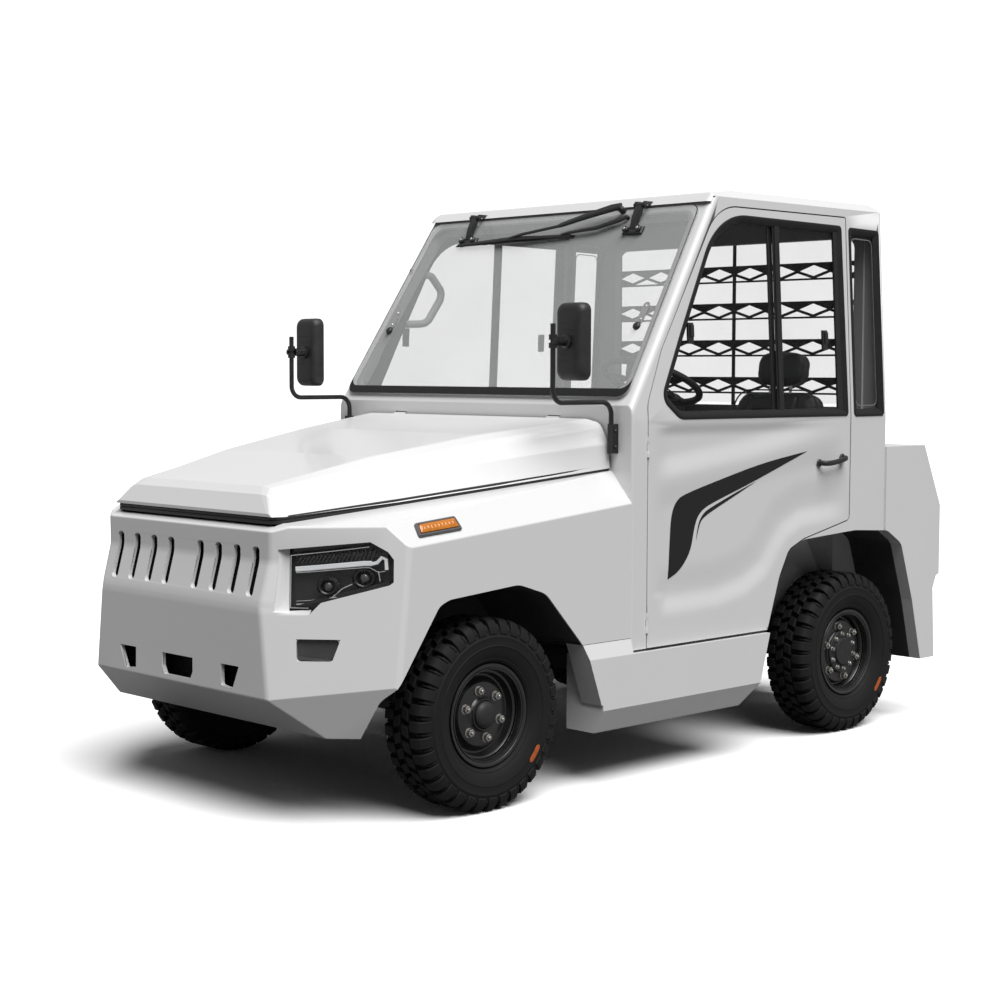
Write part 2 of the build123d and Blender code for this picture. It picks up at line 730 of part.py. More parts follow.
# ================================================================ guard outside the rear window
guard_gap = 4.0
guard_thickness = 5.0
guard_half = 672.0
guard_band_middles = (1384.0, 1544.0, 1702.0, 1861.0)
guard_band_height = 72.0
guard_diamonds = 8
guard_frame_bar = 16.0
guard_bar = 8.0
guard_top_rail = 10.0
guard_waist = 34.0  # from a band's top edge down to its diamonds' widest line
guard_plane = Plane.YZ.offset(ahead(cab_rear_station) - guard_gap - guard_thickness)
guard_bay = 2 * guard_half / guard_diamonds
guard_reach = guard_bay / 2 - guard_bar * 1.5
with BuildPart() as rear_guard:
    with BuildSketch(guard_plane):
        for y in (-guard_half + guard_frame_bar / 2, 0, guard_half - guard_frame_bar / 2):
            with Locations((y, (rear_window_low_z + rear_window_high_z) / 2)):
                Rectangle(guard_frame_bar, rear_window_high_z - rear_window_low_z + 40)
        for z in guard_band_middles:
            with Locations((0, z)):
                Rectangle(2 * guard_half, guard_band_height)
        for z in guard_band_middles:
            top, foot = z + guard_band_height / 2, z - guard_band_height / 2 + guard_bar
            waist = top - guard_waist
            for bay in range(guard_diamonds):
                y = -guard_half + (bay + 0.5) * guard_bay
                with BuildLine():
                    Polyline(
                        (y - guard_reach, waist),
                        (y, top - guard_top_rail),
                        (y + guard_reach, waist),
                        (y, foot + guard_bar),
                        close=True,
                    )
                make_face(mode=Mode.SUBTRACT)
                if bay:
                    with BuildLine():
                        Polyline(
                            (y - guard_bay / 2, waist - guard_bar),
                            (y - guard_bay / 2 - guard_reach, foot),
                            (y - guard_bay / 2 + guard_reach, foot),
                            close=True,
                        )
                    make_face(mode=Mode.SUBTRACT)
        with Locations((0, (rear_window_low_z + rear_window_high_z) / 2)):
            Rectangle(guard_frame_bar, rear_window_high_z - rear_window_low_z + 40)
    extrude(amount=guard_thickness)
    # stand-offs to the cab's rear wall
    with BuildSketch(guard_plane.offset(guard_thickness)):
        for y in (-guard_half + guard_frame_bar / 2, guard_half - guard_frame_bar / 2):
            for z in (rear_window_low_z - 12, rear_window_high_z + 12):
                with Locations((y, z)):
                    Circle(5)
    extrude(amount=guard_gap)
save(rear_guard, "rear_guard")

# ================================================================ doors, each with its pane and handle
door_thickness = cab_wall - 2.0
handle_low_z = 1084.0
handle_high_z = 1112.0
handle_front_station = -1722.0
handle_rear_station = -1890.0
handle_reach = 34.0


def flank_layer(outer_depth, inner_depth, side):
    """The layer of one flank between two depths in from its outer face."""
    with BuildPart() as layer:
        add(faceted(cab_flanks, outer_depth))
        add(faceted(cab_flanks, inner_depth), mode=Mode.SUBTRACT)
        with Locations((0, -side * 1300, 0)):
            Box(6000, 2600, 6000, mode=Mode.SUBTRACT)
    return layer.part


for side, side_name in ((1, "left"), (-1, "right")):
    with BuildPart() as door:
        add(cornered(door_corners, *side_range(side, 700, 850), -moving_gap))
        add(flank_layer(0.0, door_thickness, side), mode=Mode.INTERSECT)
        add(cornered(window_corners, *side_range(side, 690, 860)), mode=Mode.SUBTRACT)
        relief_bands = [
            (-door_hinge_half - touch_gap, -door_barrel_half),
            (door_barrel_half, door_hinge_half + touch_gap),
        ]
        add(hinge_posts(side, door_hinge_relief, relief_bands), mode=Mode.SUBTRACT)
        add(hinge_posts(side, door_hinge_radius, door_hinge_bands))
        add(hinge_posts(side, door_pin_radius + running_fit, [(-60, 60)]), mode=Mode.SUBTRACT)
    save(door, f"door_{side_name}")

    with BuildPart() as door_window:
        add(cornered(window_corners, *side_range(side, 690, 860)))
        add(flank_layer(glass_depth, glass_depth + glass_thickness, side), mode=Mode.INTERSECT)
    save(door_window, f"door_window_{side_name}")

    with BuildPart() as door_handle:
        middle = ahead((handle_front_station + handle_rear_station) / 2)
        span = handle_front_station - handle_rear_station
        with Locations((middle, side * (half_width + handle_reach - 6), (handle_low_z + handle_high_z) / 2)):
            Box(span, 12, handle_high_z - handle_low_z)
        for x in (ahead(handle_front_station) - 10, ahead(handle_rear_station) + 10):
            handle_z = (handle_low_z + handle_high_z) / 2
            with Locations((x, side * (half_width + handle_reach / 2 - 6), handle_z)):
                Box(20, handle_reach - 12, handle_high_z - handle_low_z)
    save(door_handle, f"door_handle_{side_name}")

# ================================================================ windscreen, hinged along its head
screen_gap = 7.0
screen_thickness = 6.0
hinge_half = 448.0
latch_half = 678.0
latch_up = 340.0
screen_hinge_station = -1076.0
screen_hinge_z = 2064.0
screen_barrel_radius = 8.0
screen_barrel_width = 30.0
screen_pin_radius = 4.0
screen_ear_width = 12.0
screen_arm = [(-1096, 2050), (-1069, 2005), (-1057, 2012), (-1069, 2066), (-1079, 2060)]
ear_low_z, ear_high_z = screen_hinge_z + 1.0, screen_hinge_z + 13.0
screen_ear = [
    (screen_hinge_station, ear_low_z),
    (roof_front_station - (ear_low_z - roof_front_z), ear_low_z),
    (roof_front_station - (ear_high_z - roof_front_z), ear_high_z),
    (screen_hinge_station, ear_high_z),
]
with BuildPart() as windscreen:
    add(screen_sheet(0.0, -12.0, screen_gap, screen_thickness, 45))
    with BuildSketch(screen_plane.offset(screen_gap + screen_thickness)):
        for side in (-1, 1):
            with Locations((side * latch_half, screen_sign * latch_up)):
                Rectangle(26, 84)
    extrude(amount=14)
    for side in (-1, 1):
        low, high = side * hinge_half - screen_barrel_width / 2, side * hinge_half + screen_barrel_width / 2
        add(side_profile(screen_arm, low, high))
    add(
        bar_across(
            screen_hinge_station, screen_hinge_z, screen_barrel_radius, hinge_half, screen_barrel_width
        )
    )
    add(
        bar_across(screen_hinge_station, screen_hinge_z, screen_pin_radius + running_fit, hinge_half, 100),
        mode=Mode.SUBTRACT,
    )
save(windscreen, "windscreen")

with BuildPart() as windscreen_brackets:
    for side in (-1, 1):
        for end in (-1, 1):
            ear_y = side * hinge_half + end * (screen_barrel_width / 2 + touch_gap + screen_ear_width / 2)
            add(side_profile(screen_ear, ear_y - screen_ear_width / 2, ear_y + screen_ear_width / 2))
            with BuildSketch(Plane.XZ.offset(-(ear_y - screen_ear_width / 2))):
                with Locations((ahead(screen_hinge_station), screen_hinge_z)):
                    Circle(screen_barrel_radius)
            extrude(amount=-screen_ear_width)
    pin_width = screen_barrel_width + 2 * screen_ear_width
    add(bar_across(screen_hinge_station, screen_hinge_z, screen_pin_radius, hinge_half, pin_width))
save(windscreen_brackets, "windscreen_brackets")

wiper_pivot = (-351, 14)  # half width, and how far below the head
wiper_blade_ends = [(507, 128), (-148, 116)]
wiper_boss_length = 44.0
wiper_boss_radius = 14.0
wiper_blade_height = 22.0
wiper_bar = 12.0
wiper_arm_thickness = 8.0
with BuildPart() as wiper:
    pivot = (wiper_pivot[0], screen_sign * (screen_length - wiper_pivot[1]))
    ends = [(y, screen_sign * (screen_length - down)) for y, down in wiper_blade_ends]
    knuckle_point = tuple((a + b) / 2 for a, b in zip(*ends))
    with BuildSketch(screen_plane.offset(screen_gap + screen_thickness)):
        with Locations(pivot):
            Circle(wiper_boss_radius)
    extrude(amount=wiper_boss_length)
    arm = (knuckle_point[0] - pivot[0], knuckle_point[1] - pivot[1])
    with BuildSketch(screen_plane.offset(screen_gap + screen_thickness + wiper_blade_height)):
        arm_middle = (pivot[0] + arm[0] / 2, pivot[1] + arm[1] / 2)
        with Locations(Location(arm_middle, degrees(atan2(arm[1], arm[0])))):
            Rectangle(hypot(*arm) + wiper_bar, wiper_bar)
    extrude(amount=wiper_arm_thickness)
    blade = (ends[1][0] - ends[0][0], ends[1][1] - ends[0][1])
    with BuildSketch(screen_plane.offset(screen_gap + screen_thickness)):
        with Locations(Location(knuckle_point, degrees(atan2(blade[1], blade[0])))):
            Rectangle(hypot(*blade), wiper_bar)
    extrude(amount=wiper_blade_height)
save(wiper, "wiper")

# ================================================================ tail over the rear wheels
tail_outline = [
    (cab_rear_station, deck_z),
    (-2461, deck_z),
    (-wheelbase - rear_overhang, 887),
    (-wheelbase - rear_overhang, 600),
    (-2561, 593),
    (-2537, 541),
    (-2554, 251),
    (-2380, 251),
    (-2380, 380),
    (cab_rear_station, 560),
]
jaw_width = 150.0
jaw_nose = 46.0
jaw_thickness = 26.0
jaw_heights = (300.0, 372.0, 444.0)  # undersides of the three jaws
plate_bolt_radius = 9.0
plate_bolt_spacing = (176.0, 190.0)  # across and up
plate_margin = 30.0
plate_bolt_depth = 60.0  # from the plate's rear face into the tail
pin_radius = 15.0
pin_hole_radius = pin_radius + running_fit
pin_head_radius = 26.0
coupling_plate_thickness = 30.0
coupling_x = ahead(-2530)
pin_x = -length / 2 + jaw_nose
coupling_z = (jaw_heights[0] + jaw_heights[2] + jaw_thickness) / 2
plate_width = jaw_width + 2 * plate_margin
plate_height = jaw_heights[2] - jaw_heights[0] + jaw_thickness + 2 * plate_margin
plate_rear_x = coupling_x - coupling_plate_thickness
with BuildPart() as coupling_bolts:
    with BuildSketch(Plane.YZ.offset(plate_rear_x)):
        with Locations((0, coupling_z)):
            with GridLocations(plate_bolt_spacing[0], plate_bolt_spacing[1], 2, 2):
                Circle(plate_bolt_radius)
    extrude(amount=plate_bolt_depth)

tail_well_half = 540.0
tail_face_x = ahead(-wheelbase - rear_overhang)
with BuildPart() as tail:
    add(side_profile(tail_outline, -half_width, half_width))
    for side in (-1, 1):
        add(cornered(rear_arch, *side_range(side, tail_well_half, half_width + 20)), mode=Mode.SUBTRACT)
    with Locations((ahead(cab_rear_station), 0, rail_bottom - 200)):
        Box(2 * 260, 2 * (rail_inner + rail_width), 2 * (rail_top - rail_bottom + 200), mode=Mode.SUBTRACT)
    with Locations((coupling_x - 100, 0, coupling_z)):
        Box(200, plate_width, plate_height, mode=Mode.SUBTRACT)
    add(coupling_bolts.part, mode=Mode.SUBTRACT)
save(tail, "tail")

# ================================================================ side steps below the doors
step_top_z = 461.0
step_fold_z = 278.0
step_low_z = 195.0
step_low_half = step_reach - 45.0
sill_top_z = fender_low_z - 2.0
step_front_top, step_front_low = -447.0, -494.0
sill_front_top = step_front_top + 40.0
step_rear_top, step_rear_fold, step_rear_low = -1419.0, -1364.0, -1291.0
step_faces = [
    ((0, step_reach, 0), (0, 1, 0)),
    ((0, step_inner, 0), (0, -1, 0)),
    ((0, 0, step_low_z), (0, 0, -1)),
    ((ahead(step_front_low), 0, 0), (1, 0, 0)),
    plane_facing(
        (0, step_reach, step_fold_z),
        (100, step_reach, step_fold_z),
        (0, step_low_half, step_low_z),
        (0, 0, 800),
    ),
    plane_facing(
        (ahead(step_rear_top), 0, step_top_z),
        (ahead(step_rear_top), 100, step_top_z),
        (ahead(step_rear_fold), 0, step_fold_z),
        (ahead(-1000), 0, 500),
    ),
    plane_facing(
        (ahead(step_rear_fold), 0, step_fold_z),
        (ahead(step_rear_fold), 100, step_fold_z),
        (ahead(step_rear_low), 0, step_low_z),
        (ahead(-1000), 0, 500),
    ),
]
sill_faces = [
    ((0, step_reach, 0), (0, 1, 0)),
    ((0, step_inner + 80, 0), (0, -1, 0)),
    ((0, 0, step_fold_z + 20), (0, 0, -1)),
    ((0, 0, sill_top_z), (0, 0, 1)),
    ((ahead(cab_station) + 1, 0, 0), (-1, 0, 0)),
    plane_facing(
        (ahead(sill_front_top), 0, sill_top_z),
        (ahead(sill_front_top), 100, sill_top_z),
        (ahead(step_front_low), 0, step_fold_z),
        (0, 0, 0),
    ),
    plane_facing(
        (0, half_width, sill_top_z), (100, half_width, sill_top_z), (0, step_reach, step_top_z), (0, 0, 0)
    ),
]
with BuildPart() as left_step:
    add(faceted(step_faces + [((0, 0, step_top_z), (0, 0, 1))]))
    add(faceted(sill_faces))
with BuildPart() as steps:
    add(left_step.part)
    add(left_step.part.mirror(Plane.XZ))
save(steps, "steps")

# ================================================================ frame, outriggers and the coupling's plate
with BuildPart() as frame:
    rear_x = ahead(-2380) + 2
    front_x = ahead(rail_front_station)
    for side in (-1, 1):
        rail_middle = (rail_bottom + rail_top) / 2
        with Locations(((front_x + rear_x) / 2, side * (rail_inner + rail_width / 2), rail_middle)):
            Box(front_x - rear_x, rail_width, rail_top - rail_bottom)
    for station, half_length in outriggers:
        with Locations((ahead(station), 0, (rail_bottom + rail_top) / 2)):
            Box(outrigger_width, 2 * half_length, rail_top - rail_bottom)
    with Locations((ahead(-2300), 0, (rail_bottom + rail_top) / 2)):
        Box(outrigger_width, 2 * rail_inner + 10, rail_top - rail_bottom)
    for station in engine_bearer_stations:
        with Locations((ahead(station), 0, engine_low_z - 30)):
            Box(outrigger_width, 2 * rail_inner + 10, 60)
save(frame, "frame")

# ================================================================ engine
with BuildPart() as engine_block:
    with Locations((ahead(engine_station), 0, engine_low_z + engine_size[2] / 2)):
        Box(*engine_size)
save(engine_block, "engine_block")

# ================================================================ dashboard
cabin_half = half_width - cab_wall
dash_front = cab_station - cab_wall
dash_profile = [(dash_front, 1308), (-760, 1325), (-890, 1290), (-925, 1230), (-880, 960), (dash_front, 960)]
with BuildPart() as dashboard:
    add(side_profile(dash_profile, -cabin_half + 20, cabin_half - 20))
save(dashboard, "dashboard")

# ================================================================ seats on their plinth
seat_middle = 372.0
seat_width = 470.0
plinth_top_z = 842.0
plinth_front_station = -1436.0
plinth_rear_station = -2140.0
cushion_height = 118.0
cushion_front_station = -1440.0
cushion_rear_station = -1900.0
back_height = 540.0
back_thickness = 110.0
back_lean = 9.0
headrest_width = 250.0
headrest_height = 170.0
with BuildPart() as seat_plinth:
    with Locations(
        (
            ahead((plinth_front_station + plinth_rear_station) / 2),
            0,
            (cab_floor_z + floor_thickness + plinth_top_z) / 2,
        )
    ):
        Box(
            plinth_front_station - plinth_rear_station,
            2 * (well_half - 14),
            plinth_top_z - cab_floor_z - floor_thickness,
        )
save(seat_plinth, "seat_plinth")

for side, side_name in ((1, "left"), (-1, "right")):
    with BuildPart() as seat_cushion:
        x = ahead((cushion_front_station + cushion_rear_station) / 2)
        with Locations((x, side * seat_middle, plinth_top_z + cushion_height / 2)):
            Box(cushion_front_station - cushion_rear_station, seat_width, cushion_height)
        fillet(seat_cushion.edges().filter_by(Axis.Z), 50)
        fillet(seat_cushion.faces().sort_by(Axis.Z)[-1].edges(), 30)
    save(seat_cushion, f"seat_cushion_{side_name}")

    with BuildPart() as seat_back:
        foot_z = plinth_top_z + touch_gap + back_thickness * sin(radians(back_lean))
        foot = (ahead(cushion_rear_station) - 6, side * seat_middle, foot_z)
        lean_normal = (-cos(radians(back_lean)), 0, -sin(radians(back_lean)))
        lean = Plane(origin=foot, x_dir=(0, 1, 0), z_dir=lean_normal)
        up = 1 if lean.y_dir.Z > 0 else -1
        with BuildSketch(lean) as back_outline:
            with Locations((0, up * back_height / 2)):
                RectangleRounded(seat_width - 10, back_height, 70)
            with Locations((0, up * (back_height + headrest_height / 2 - 20))):
                RectangleRounded(headrest_width, headrest_height, 50)
        extrude(amount=back_thickness)
    save(seat_back, f"seat_back_{side_name}")

# ================================================================ steering column and wheel
steering_radius = 190.0
steering_rim = 14.0
steering_tilt = 25.0  # of the column from upright
steering_centre = (ahead(-1235), seat_middle, 1405)
column_radius = 28.0
column_gap = 8.0
shaft_radius = 11.0
wheel_boss_radius = 44.0
column_dir = (-sin(radians(steering_tilt)), 0, cos(radians(steering_tilt)))
steering_plane = Plane(origin=steering_centre, x_dir=(0, 1, 0), z_dir=column_dir)
with BuildPart() as steering_wheel:
    with BuildSketch(Plane(origin=steering_centre, x_dir=column_dir, z_dir=(0, 1, 0))):
        with Locations((0, steering_radius)):
            Circle(steering_rim)
    revolve(axis=Axis(steering_centre, column_dir))
    with BuildSketch(steering_plane.offset(-44)):
        Circle(wheel_boss_radius)
    extrude(amount=44)
    with BuildSketch(steering_plane.offset(-14)):
        with PolarLocations(steering_radius / 2, 3, start_angle=90):
            Rectangle(steering_radius - 20, 30)
    extrude(amount=12)
    with BuildSketch(steering_plane.offset(-20)):
        Circle(shaft_radius + running_fit)
    extrude(amount=-60, mode=Mode.SUBTRACT)
save(steering_wheel, "steering_wheel")

with BuildPart() as steering_column:
    with BuildSketch(steering_plane.offset(-44 - column_gap)):
        Circle(column_radius)
    extrude(amount=-1100)
    with BuildSketch(steering_plane.offset(-20)):
        Circle(shaft_radius)
    extrude(amount=-60)
    with Locations((ahead(-900), seat_middle, cab_floor_z + floor_thickness - 500)):
        Box(900, 600, 1000, mode=Mode.SUBTRACT)
save(steering_column, "steering_column")

# ================================================================ mirrors on their stalks
mirror_tube_radius = 9.0
mirror_tube_half = 716.0
mirror_tube_station = -339.0
mirror_base_station = -632.0
mirror_base_z = 1160.0
mirror_arm_z = 1338.0
mirror_bend = 45.0
mirror_head_station = -431.0
mirror_head_half = 721.0
mirror_head_size = (50.0, 130.0, 266.0)
mirror_head_corner = 30.0
mirror_head_edge = 18.0
mirror_head_z = {1: 1546.0, -1: 1516.0}
mirror_clamp = 34.0
mirror_bracket_width = 26.0
for side, side_name in ((1, "left"), (-1, "right")):
    with BuildPart() as mirror:
        y = side * mirror_tube_half
        z_head = mirror_head_z[side]
        with BuildLine() as route:
            FilletPolyline(
                (ahead(mirror_base_station), y, mirror_base_z),
                (ahead(mirror_base_station), y, mirror_arm_z),
                (ahead(mirror_tube_station), y, mirror_arm_z),
                (ahead(mirror_tube_station), y, z_head + 60),
                radius=mirror_bend,
            )
        with BuildSketch(Plane(origin=(ahead(mirror_base_station), y, mirror_base_z), z_dir=(0, 0, 1))):
            Circle(mirror_tube_radius)
        sweep()
        with BuildPart(mode=Mode.PRIVATE) as head:
            with Locations((ahead(mirror_head_station), side * mirror_head_half, z_head)):
                Box(*mirror_head_size)
            fillet(head.edges().filter_by(Axis.X), mirror_head_corner)
            fillet(head.faces().sort_by(Axis.X)[-1].edges(), mirror_head_edge)
        add(head.part)
        clamp_x = ahead((mirror_head_station + mirror_tube_station) / 2) + 12
        with Locations((clamp_x, y, z_head)):
            Box(mirror_tube_station - mirror_head_station - 20, mirror_clamp, mirror_clamp)
        bracket_x = ahead(cab_station)
        bracket_length = ahead(mirror_base_station) + mirror_tube_radius - bracket_x
        bracket_y = y + side * (mirror_bracket_width / 2 - mirror_tube_radius + 2)
        with Locations((bracket_x + bracket_length / 2, bracket_y, mirror_base_z + 50)):
            Box(bracket_length, mirror_bracket_width, 104)
    save(mirror, f"mirror_{side_name}")

# ================================================================ tail lamps
with BuildPart() as tail_lamps:
    for side in (-1, 1):
        with BuildSketch(Plane.YZ.offset(tail_face_x)):
            with Locations((side * 640, 740)):
                RectangleRounded(120, 200, 14)
        extrude(amount=-22)
save(tail_lamps, "tail_lamps")

# ================================================================ tow coupling: jaws and the drop pin
with BuildPart() as tow_coupling:
    with Locations((coupling_x - coupling_plate_thickness / 2, 0, coupling_z)):
        Box(coupling_plate_thickness, plate_width, plate_height)
    for z in jaw_heights:
        with BuildSketch(Plane.XY.offset(z)):
            with Locations((pin_x, 0)):
                Circle(jaw_nose)
            with BuildLine():
                Polyline(
                    (pin_x, jaw_nose),
                    (plate_rear_x, jaw_width / 2),
                    (plate_rear_x, -jaw_width / 2),
                    (pin_x, -jaw_nose),
                    close=True,
                )
            make_face()
        extrude(amount=jaw_thickness)
    with Locations((pin_x, 0, 0)):
        Cylinder(pin_hole_radius, 2000, mode=Mode.SUBTRACT)
    add(coupling_bolts.part, mode=Mode.SUBTRACT)
save(tow_coupling, "tow_coupling")

pin_top_z = jaw_heights[2] + jaw_thickness
with BuildPart() as tow_pin:
    with BuildSketch(Plane.XY.offset(jaw_heights[0] - 14)):
        with Locations((pin_x, 0)):
            Circle(pin_radius)
    extrude(amount=pin_top_z - jaw_heights[0] + 14)
    with BuildSketch(Plane.XY.offset(pin_top_z)):
        with Locations((pin_x, 0)):
            Circle(pin_head_radius)
    extrude(amount=12)
    with BuildSketch(Plane.XZ):
        with Locations((pin_x, pin_top_z + 12 + 30)):
            Circle(34)
            Circle(24, mode=Mode.SUBTRACT)
    extrude(amount=5, both=True)
save(tow_pin, "tow_pin")

# ================================================================ wheels
lug_count = 32
lug_share = 0.6  # of the pitch that a lug's top takes
lug_slope = 0.05  # of the pitch that each of its flanks takes
lug_depth = 18.0
crown_half = 70.0  # flat part of the tread, from the centre plane
shoulder_drop = 32.0
bead_half = 65.0
bead_radius = 175.0
wall_radius = 240.0  # where the sidewall turns in to the bead
lug_top_radius = tyre_radius / cos(pi * lug_share / lug_count)


def tread_outline(drop):
    """Corners of the lugged tread, its lowest lug flat, shrunk so that its top lies lower by the drop."""
    corners = []
    shrink = 1 - drop / tyre_radius
    for count in range(lug_count):
        for share, radius in (
            (-lug_share / 2 - lug_slope, lug_top_radius - lug_depth),
            (-lug_share / 2, lug_top_radius),
            (lug_share / 2, lug_top_radius),
            (lug_share / 2 + lug_slope, lug_top_radius - lug_depth),
        ):
            turn_by = 2 * pi * (count + share) / lug_count - pi / 2
            corners.append((radius * shrink * cos(turn_by), radius * shrink * sin(turn_by)))
    return corners


def round_outline(radius):
    """Corners of a circle round the wheel, one to each lug."""
    turns = [2 * pi * count / lug_count for count in range(lug_count)]
    return [(radius * cos(turn), radius * sin(turn)) for turn in turns]


def flat_faced_ring(centre, outlines):
    """A solid of flat faces run through outlines, each with its distance to the left of the centre."""
    faces = []
    for (near, near_y), (far, far_y) in zip(outlines, outlines[1:] + outlines[:1]):
        near = [Vector(*centre) + Vector(x, near_y, z) for x, z in near]
        far = [Vector(*centre) + Vector(x, far_y, z) for x, z in far]
        if near_y == far_y:
            outer, inner = sorted((near, far), key=lambda ring: -(ring[0] - Vector(*centre)).length)
            faces.append(Face(Wire.make_polygon(outer, close=True), [Wire.make_polygon(inner, close=True)]))
        else:
            for i in range(len(near)):
                j = (i + 1) % len(near)
                faces.append(Face(Wire.make_polygon([near[i], near[j], far[j], far[i]], close=True)))
    return Solid(Shell(faces))


wheel_places = [  # name, station, half track, side, steered
    ("front_left", 0.0, front_half_track, 1),
    ("front_right", 0.0, front_half_track, -1),
    ("rear_left", rear_station, rear_half_track, 1),
    ("rear_right", rear_station, rear_half_track, -1),
]
for name, station, half_track, side in wheel_places:
    centre = (ahead(station), side * half_track, tyre_radius)
    # the wheel's own plane: X along the axle outboard, Y up
    section = Plane(origin=centre, x_dir=(0, side, 0), z_dir=(side, 0, 0))
    turn = Axis(centre, (0, 1, 0))
    half_tyre = tyre_width / 2
    bore_outline = round_outline((rim_radius + touch_gap) / cos(pi / lug_count))
    half_ring = [
        (bore_outline, bead_half),
        (round_outline(bead_radius), bead_half),
        (round_outline(wall_radius), half_tyre),
        (tread_outline(shoulder_drop), half_tyre),
        (tread_outline(0.0), crown_half),
    ]
    with BuildPart() as tyre_ring:
        add(flat_faced_ring(centre, half_ring + [(outline, -y) for outline, y in reversed(half_ring)]))
    save(tyre_ring, f"tyre_{name}")

    with BuildPart() as rim:
        half_rim = rim_width / 2
        seat = rim_radius
        outer_face = disc_offset
        hub_rear = -half_rim + 30
        with BuildSketch(section):
            with BuildLine():
                Polyline(
                    (-half_rim, seat + rim_flange),
                    (-half_rim, seat - rim_wall),
                    (outer_face - disc_thickness, seat - rim_wall),
                    (outer_face - disc_thickness, hub_radius),
                    (hub_rear, hub_radius),
                    (hub_rear, spindle_radius + running_fit),
                    (outer_face, spindle_radius + running_fit),
                    (outer_face, 0),
                    (outer_face + hub_cap_reach, 0),
                    (outer_face + hub_cap_reach, hub_cap_radius),
                    (outer_face, hub_cap_radius + 6),
                    (outer_face, seat - rim_wall - 20),
                    (half_rim, seat - rim_wall),
                    (half_rim, seat + rim_flange),
                    (half_rim - 10, seat + rim_flange),
                    (half_rim - 12, seat),
                    (-half_rim + 12, seat),
                    (-half_rim + 10, seat + rim_flange),
                    close=True,
                )
            make_face()
        revolve(axis=turn)
    save(rim, f"rim_{name}")

# ================================================================ front axle beam, knuckles and tie rod
kingpin_half = front_half_track - tyre_width / 2 - kingpin_inset
beam_end = kingpin_half - boss_radius - 8
with BuildPart() as front_axle:
    with Locations((front_axle_x, 0, tyre_radius)):
        Box(beam_width, 2 * beam_end, beam_height)
    for side in (-1, 1):
        with Locations((front_axle_x, side * (kingpin_half + beam_end) / 2, tyre_radius)):
            Box(44, kingpin_half - beam_end, boss_height)
        with Locations((front_axle_x, side * kingpin_half, tyre_radius)):
            Cylinder(boss_radius, boss_height)
        # spring saddle up to the rail
        saddle_low = tyre_radius + beam_height / 2
        with Locations(
            (front_axle_x, side * (rail_inner + rail_width / 2), (saddle_low + rail_bottom) / 2)
        ):
            Box(420, rail_width - 8, rail_bottom - saddle_low)
    for side in (-1, 1):
        with Locations((front_axle_x, side * kingpin_half, tyre_radius)):
            Cylinder(kingpin_radius + running_fit, 400, mode=Mode.SUBTRACT)
save(front_axle, "front_axle")

yoke_thickness = 24.0
arm_thickness = 18.0
ball_pin_radius = 6.0
ball_reach = 16.0
rod_eye_height = 26.0
rod_gap = 1.0
yoke_gap = 5.0
plate_near = 42.0  # kingpin to the upright plate
plate_thickness = 20.0
arm_z = tyre_radius - boss_height / 2 - yoke_gap - yoke_thickness / 2
rod_z = arm_z - arm_thickness / 2 - rod_gap - rod_eye_height / 2
for side, side_name in ((1, "left"), (-1, "right")):
    with BuildPart() as knuckle:
        y = side * kingpin_half
        with Locations((front_axle_x, y, tyre_radius)):
            Cylinder(kingpin_radius, boss_height + 2 * (yoke_gap + yoke_thickness))
        for up in (-1, 1):
            z = tyre_radius + up * (boss_height / 2 + yoke_gap + yoke_thickness / 2)
            with Locations((front_axle_x, y + side * (plate_near + plate_thickness) / 2, z)):
                Box(60, plate_near + plate_thickness, yoke_thickness)
            with Locations((front_axle_x, y, z)):
                Cylinder(30, yoke_thickness)
        with Locations((front_axle_x, y + side * (plate_near + plate_thickness / 2), tyre_radius)):
            Box(60, plate_thickness, boss_height + 2 * yoke_gap)
        spindle_start = plate_near + plate_thickness
        spindle_length = front_half_track + disc_offset - 2 - kingpin_half - spindle_start
        with Locations(
            Location((front_axle_x, y + side * (spindle_start + spindle_length / 2), tyre_radius), (90, 0, 0))
        ):
            Cylinder(spindle_radius, spindle_length)
        with BuildSketch(Plane.XY.offset(arm_z - arm_thickness / 2)):
            with BuildLine():
                Polyline(
                    (front_axle_x, y + 14),
                    (front_axle_x, y - 14),
                    (front_axle_x - steer_arm, y - 12),
                    (front_axle_x - steer_arm, y + 12),
                    close=True,
                )
            make_face()
            with Locations((front_axle_x - steer_arm, y)):
                Circle(16)
        extrude(amount=arm_thickness)
        with BuildSketch(Plane.XY.offset(rod_z - ball_reach)):
            with Locations((front_axle_x - steer_arm, y)):
                Circle(ball_pin_radius)
        extrude(amount=arm_z - rod_z + ball_reach)
    save(knuckle, f"knuckle_{side_name}")

with BuildPart() as tie_rod:
    with Locations(Location((front_axle_x - steer_arm, 0, rod_z), (90, 0, 0))):
        Cylinder(tie_rod_radius, 2 * kingpin_half)
    for side in (-1, 1):
        with Locations((front_axle_x - steer_arm, side * kingpin_half, rod_z)):
            Cylinder(16, rod_eye_height)
    for side, clearance in ((1, running_fit), (-1, 10 * running_fit)):
        with Locations((front_axle_x - steer_arm, side * kingpin_half, rod_z)):
            Cylinder(ball_pin_radius + clearance, 60, mode=Mode.SUBTRACT)
save(tie_rod, "tie_rod")

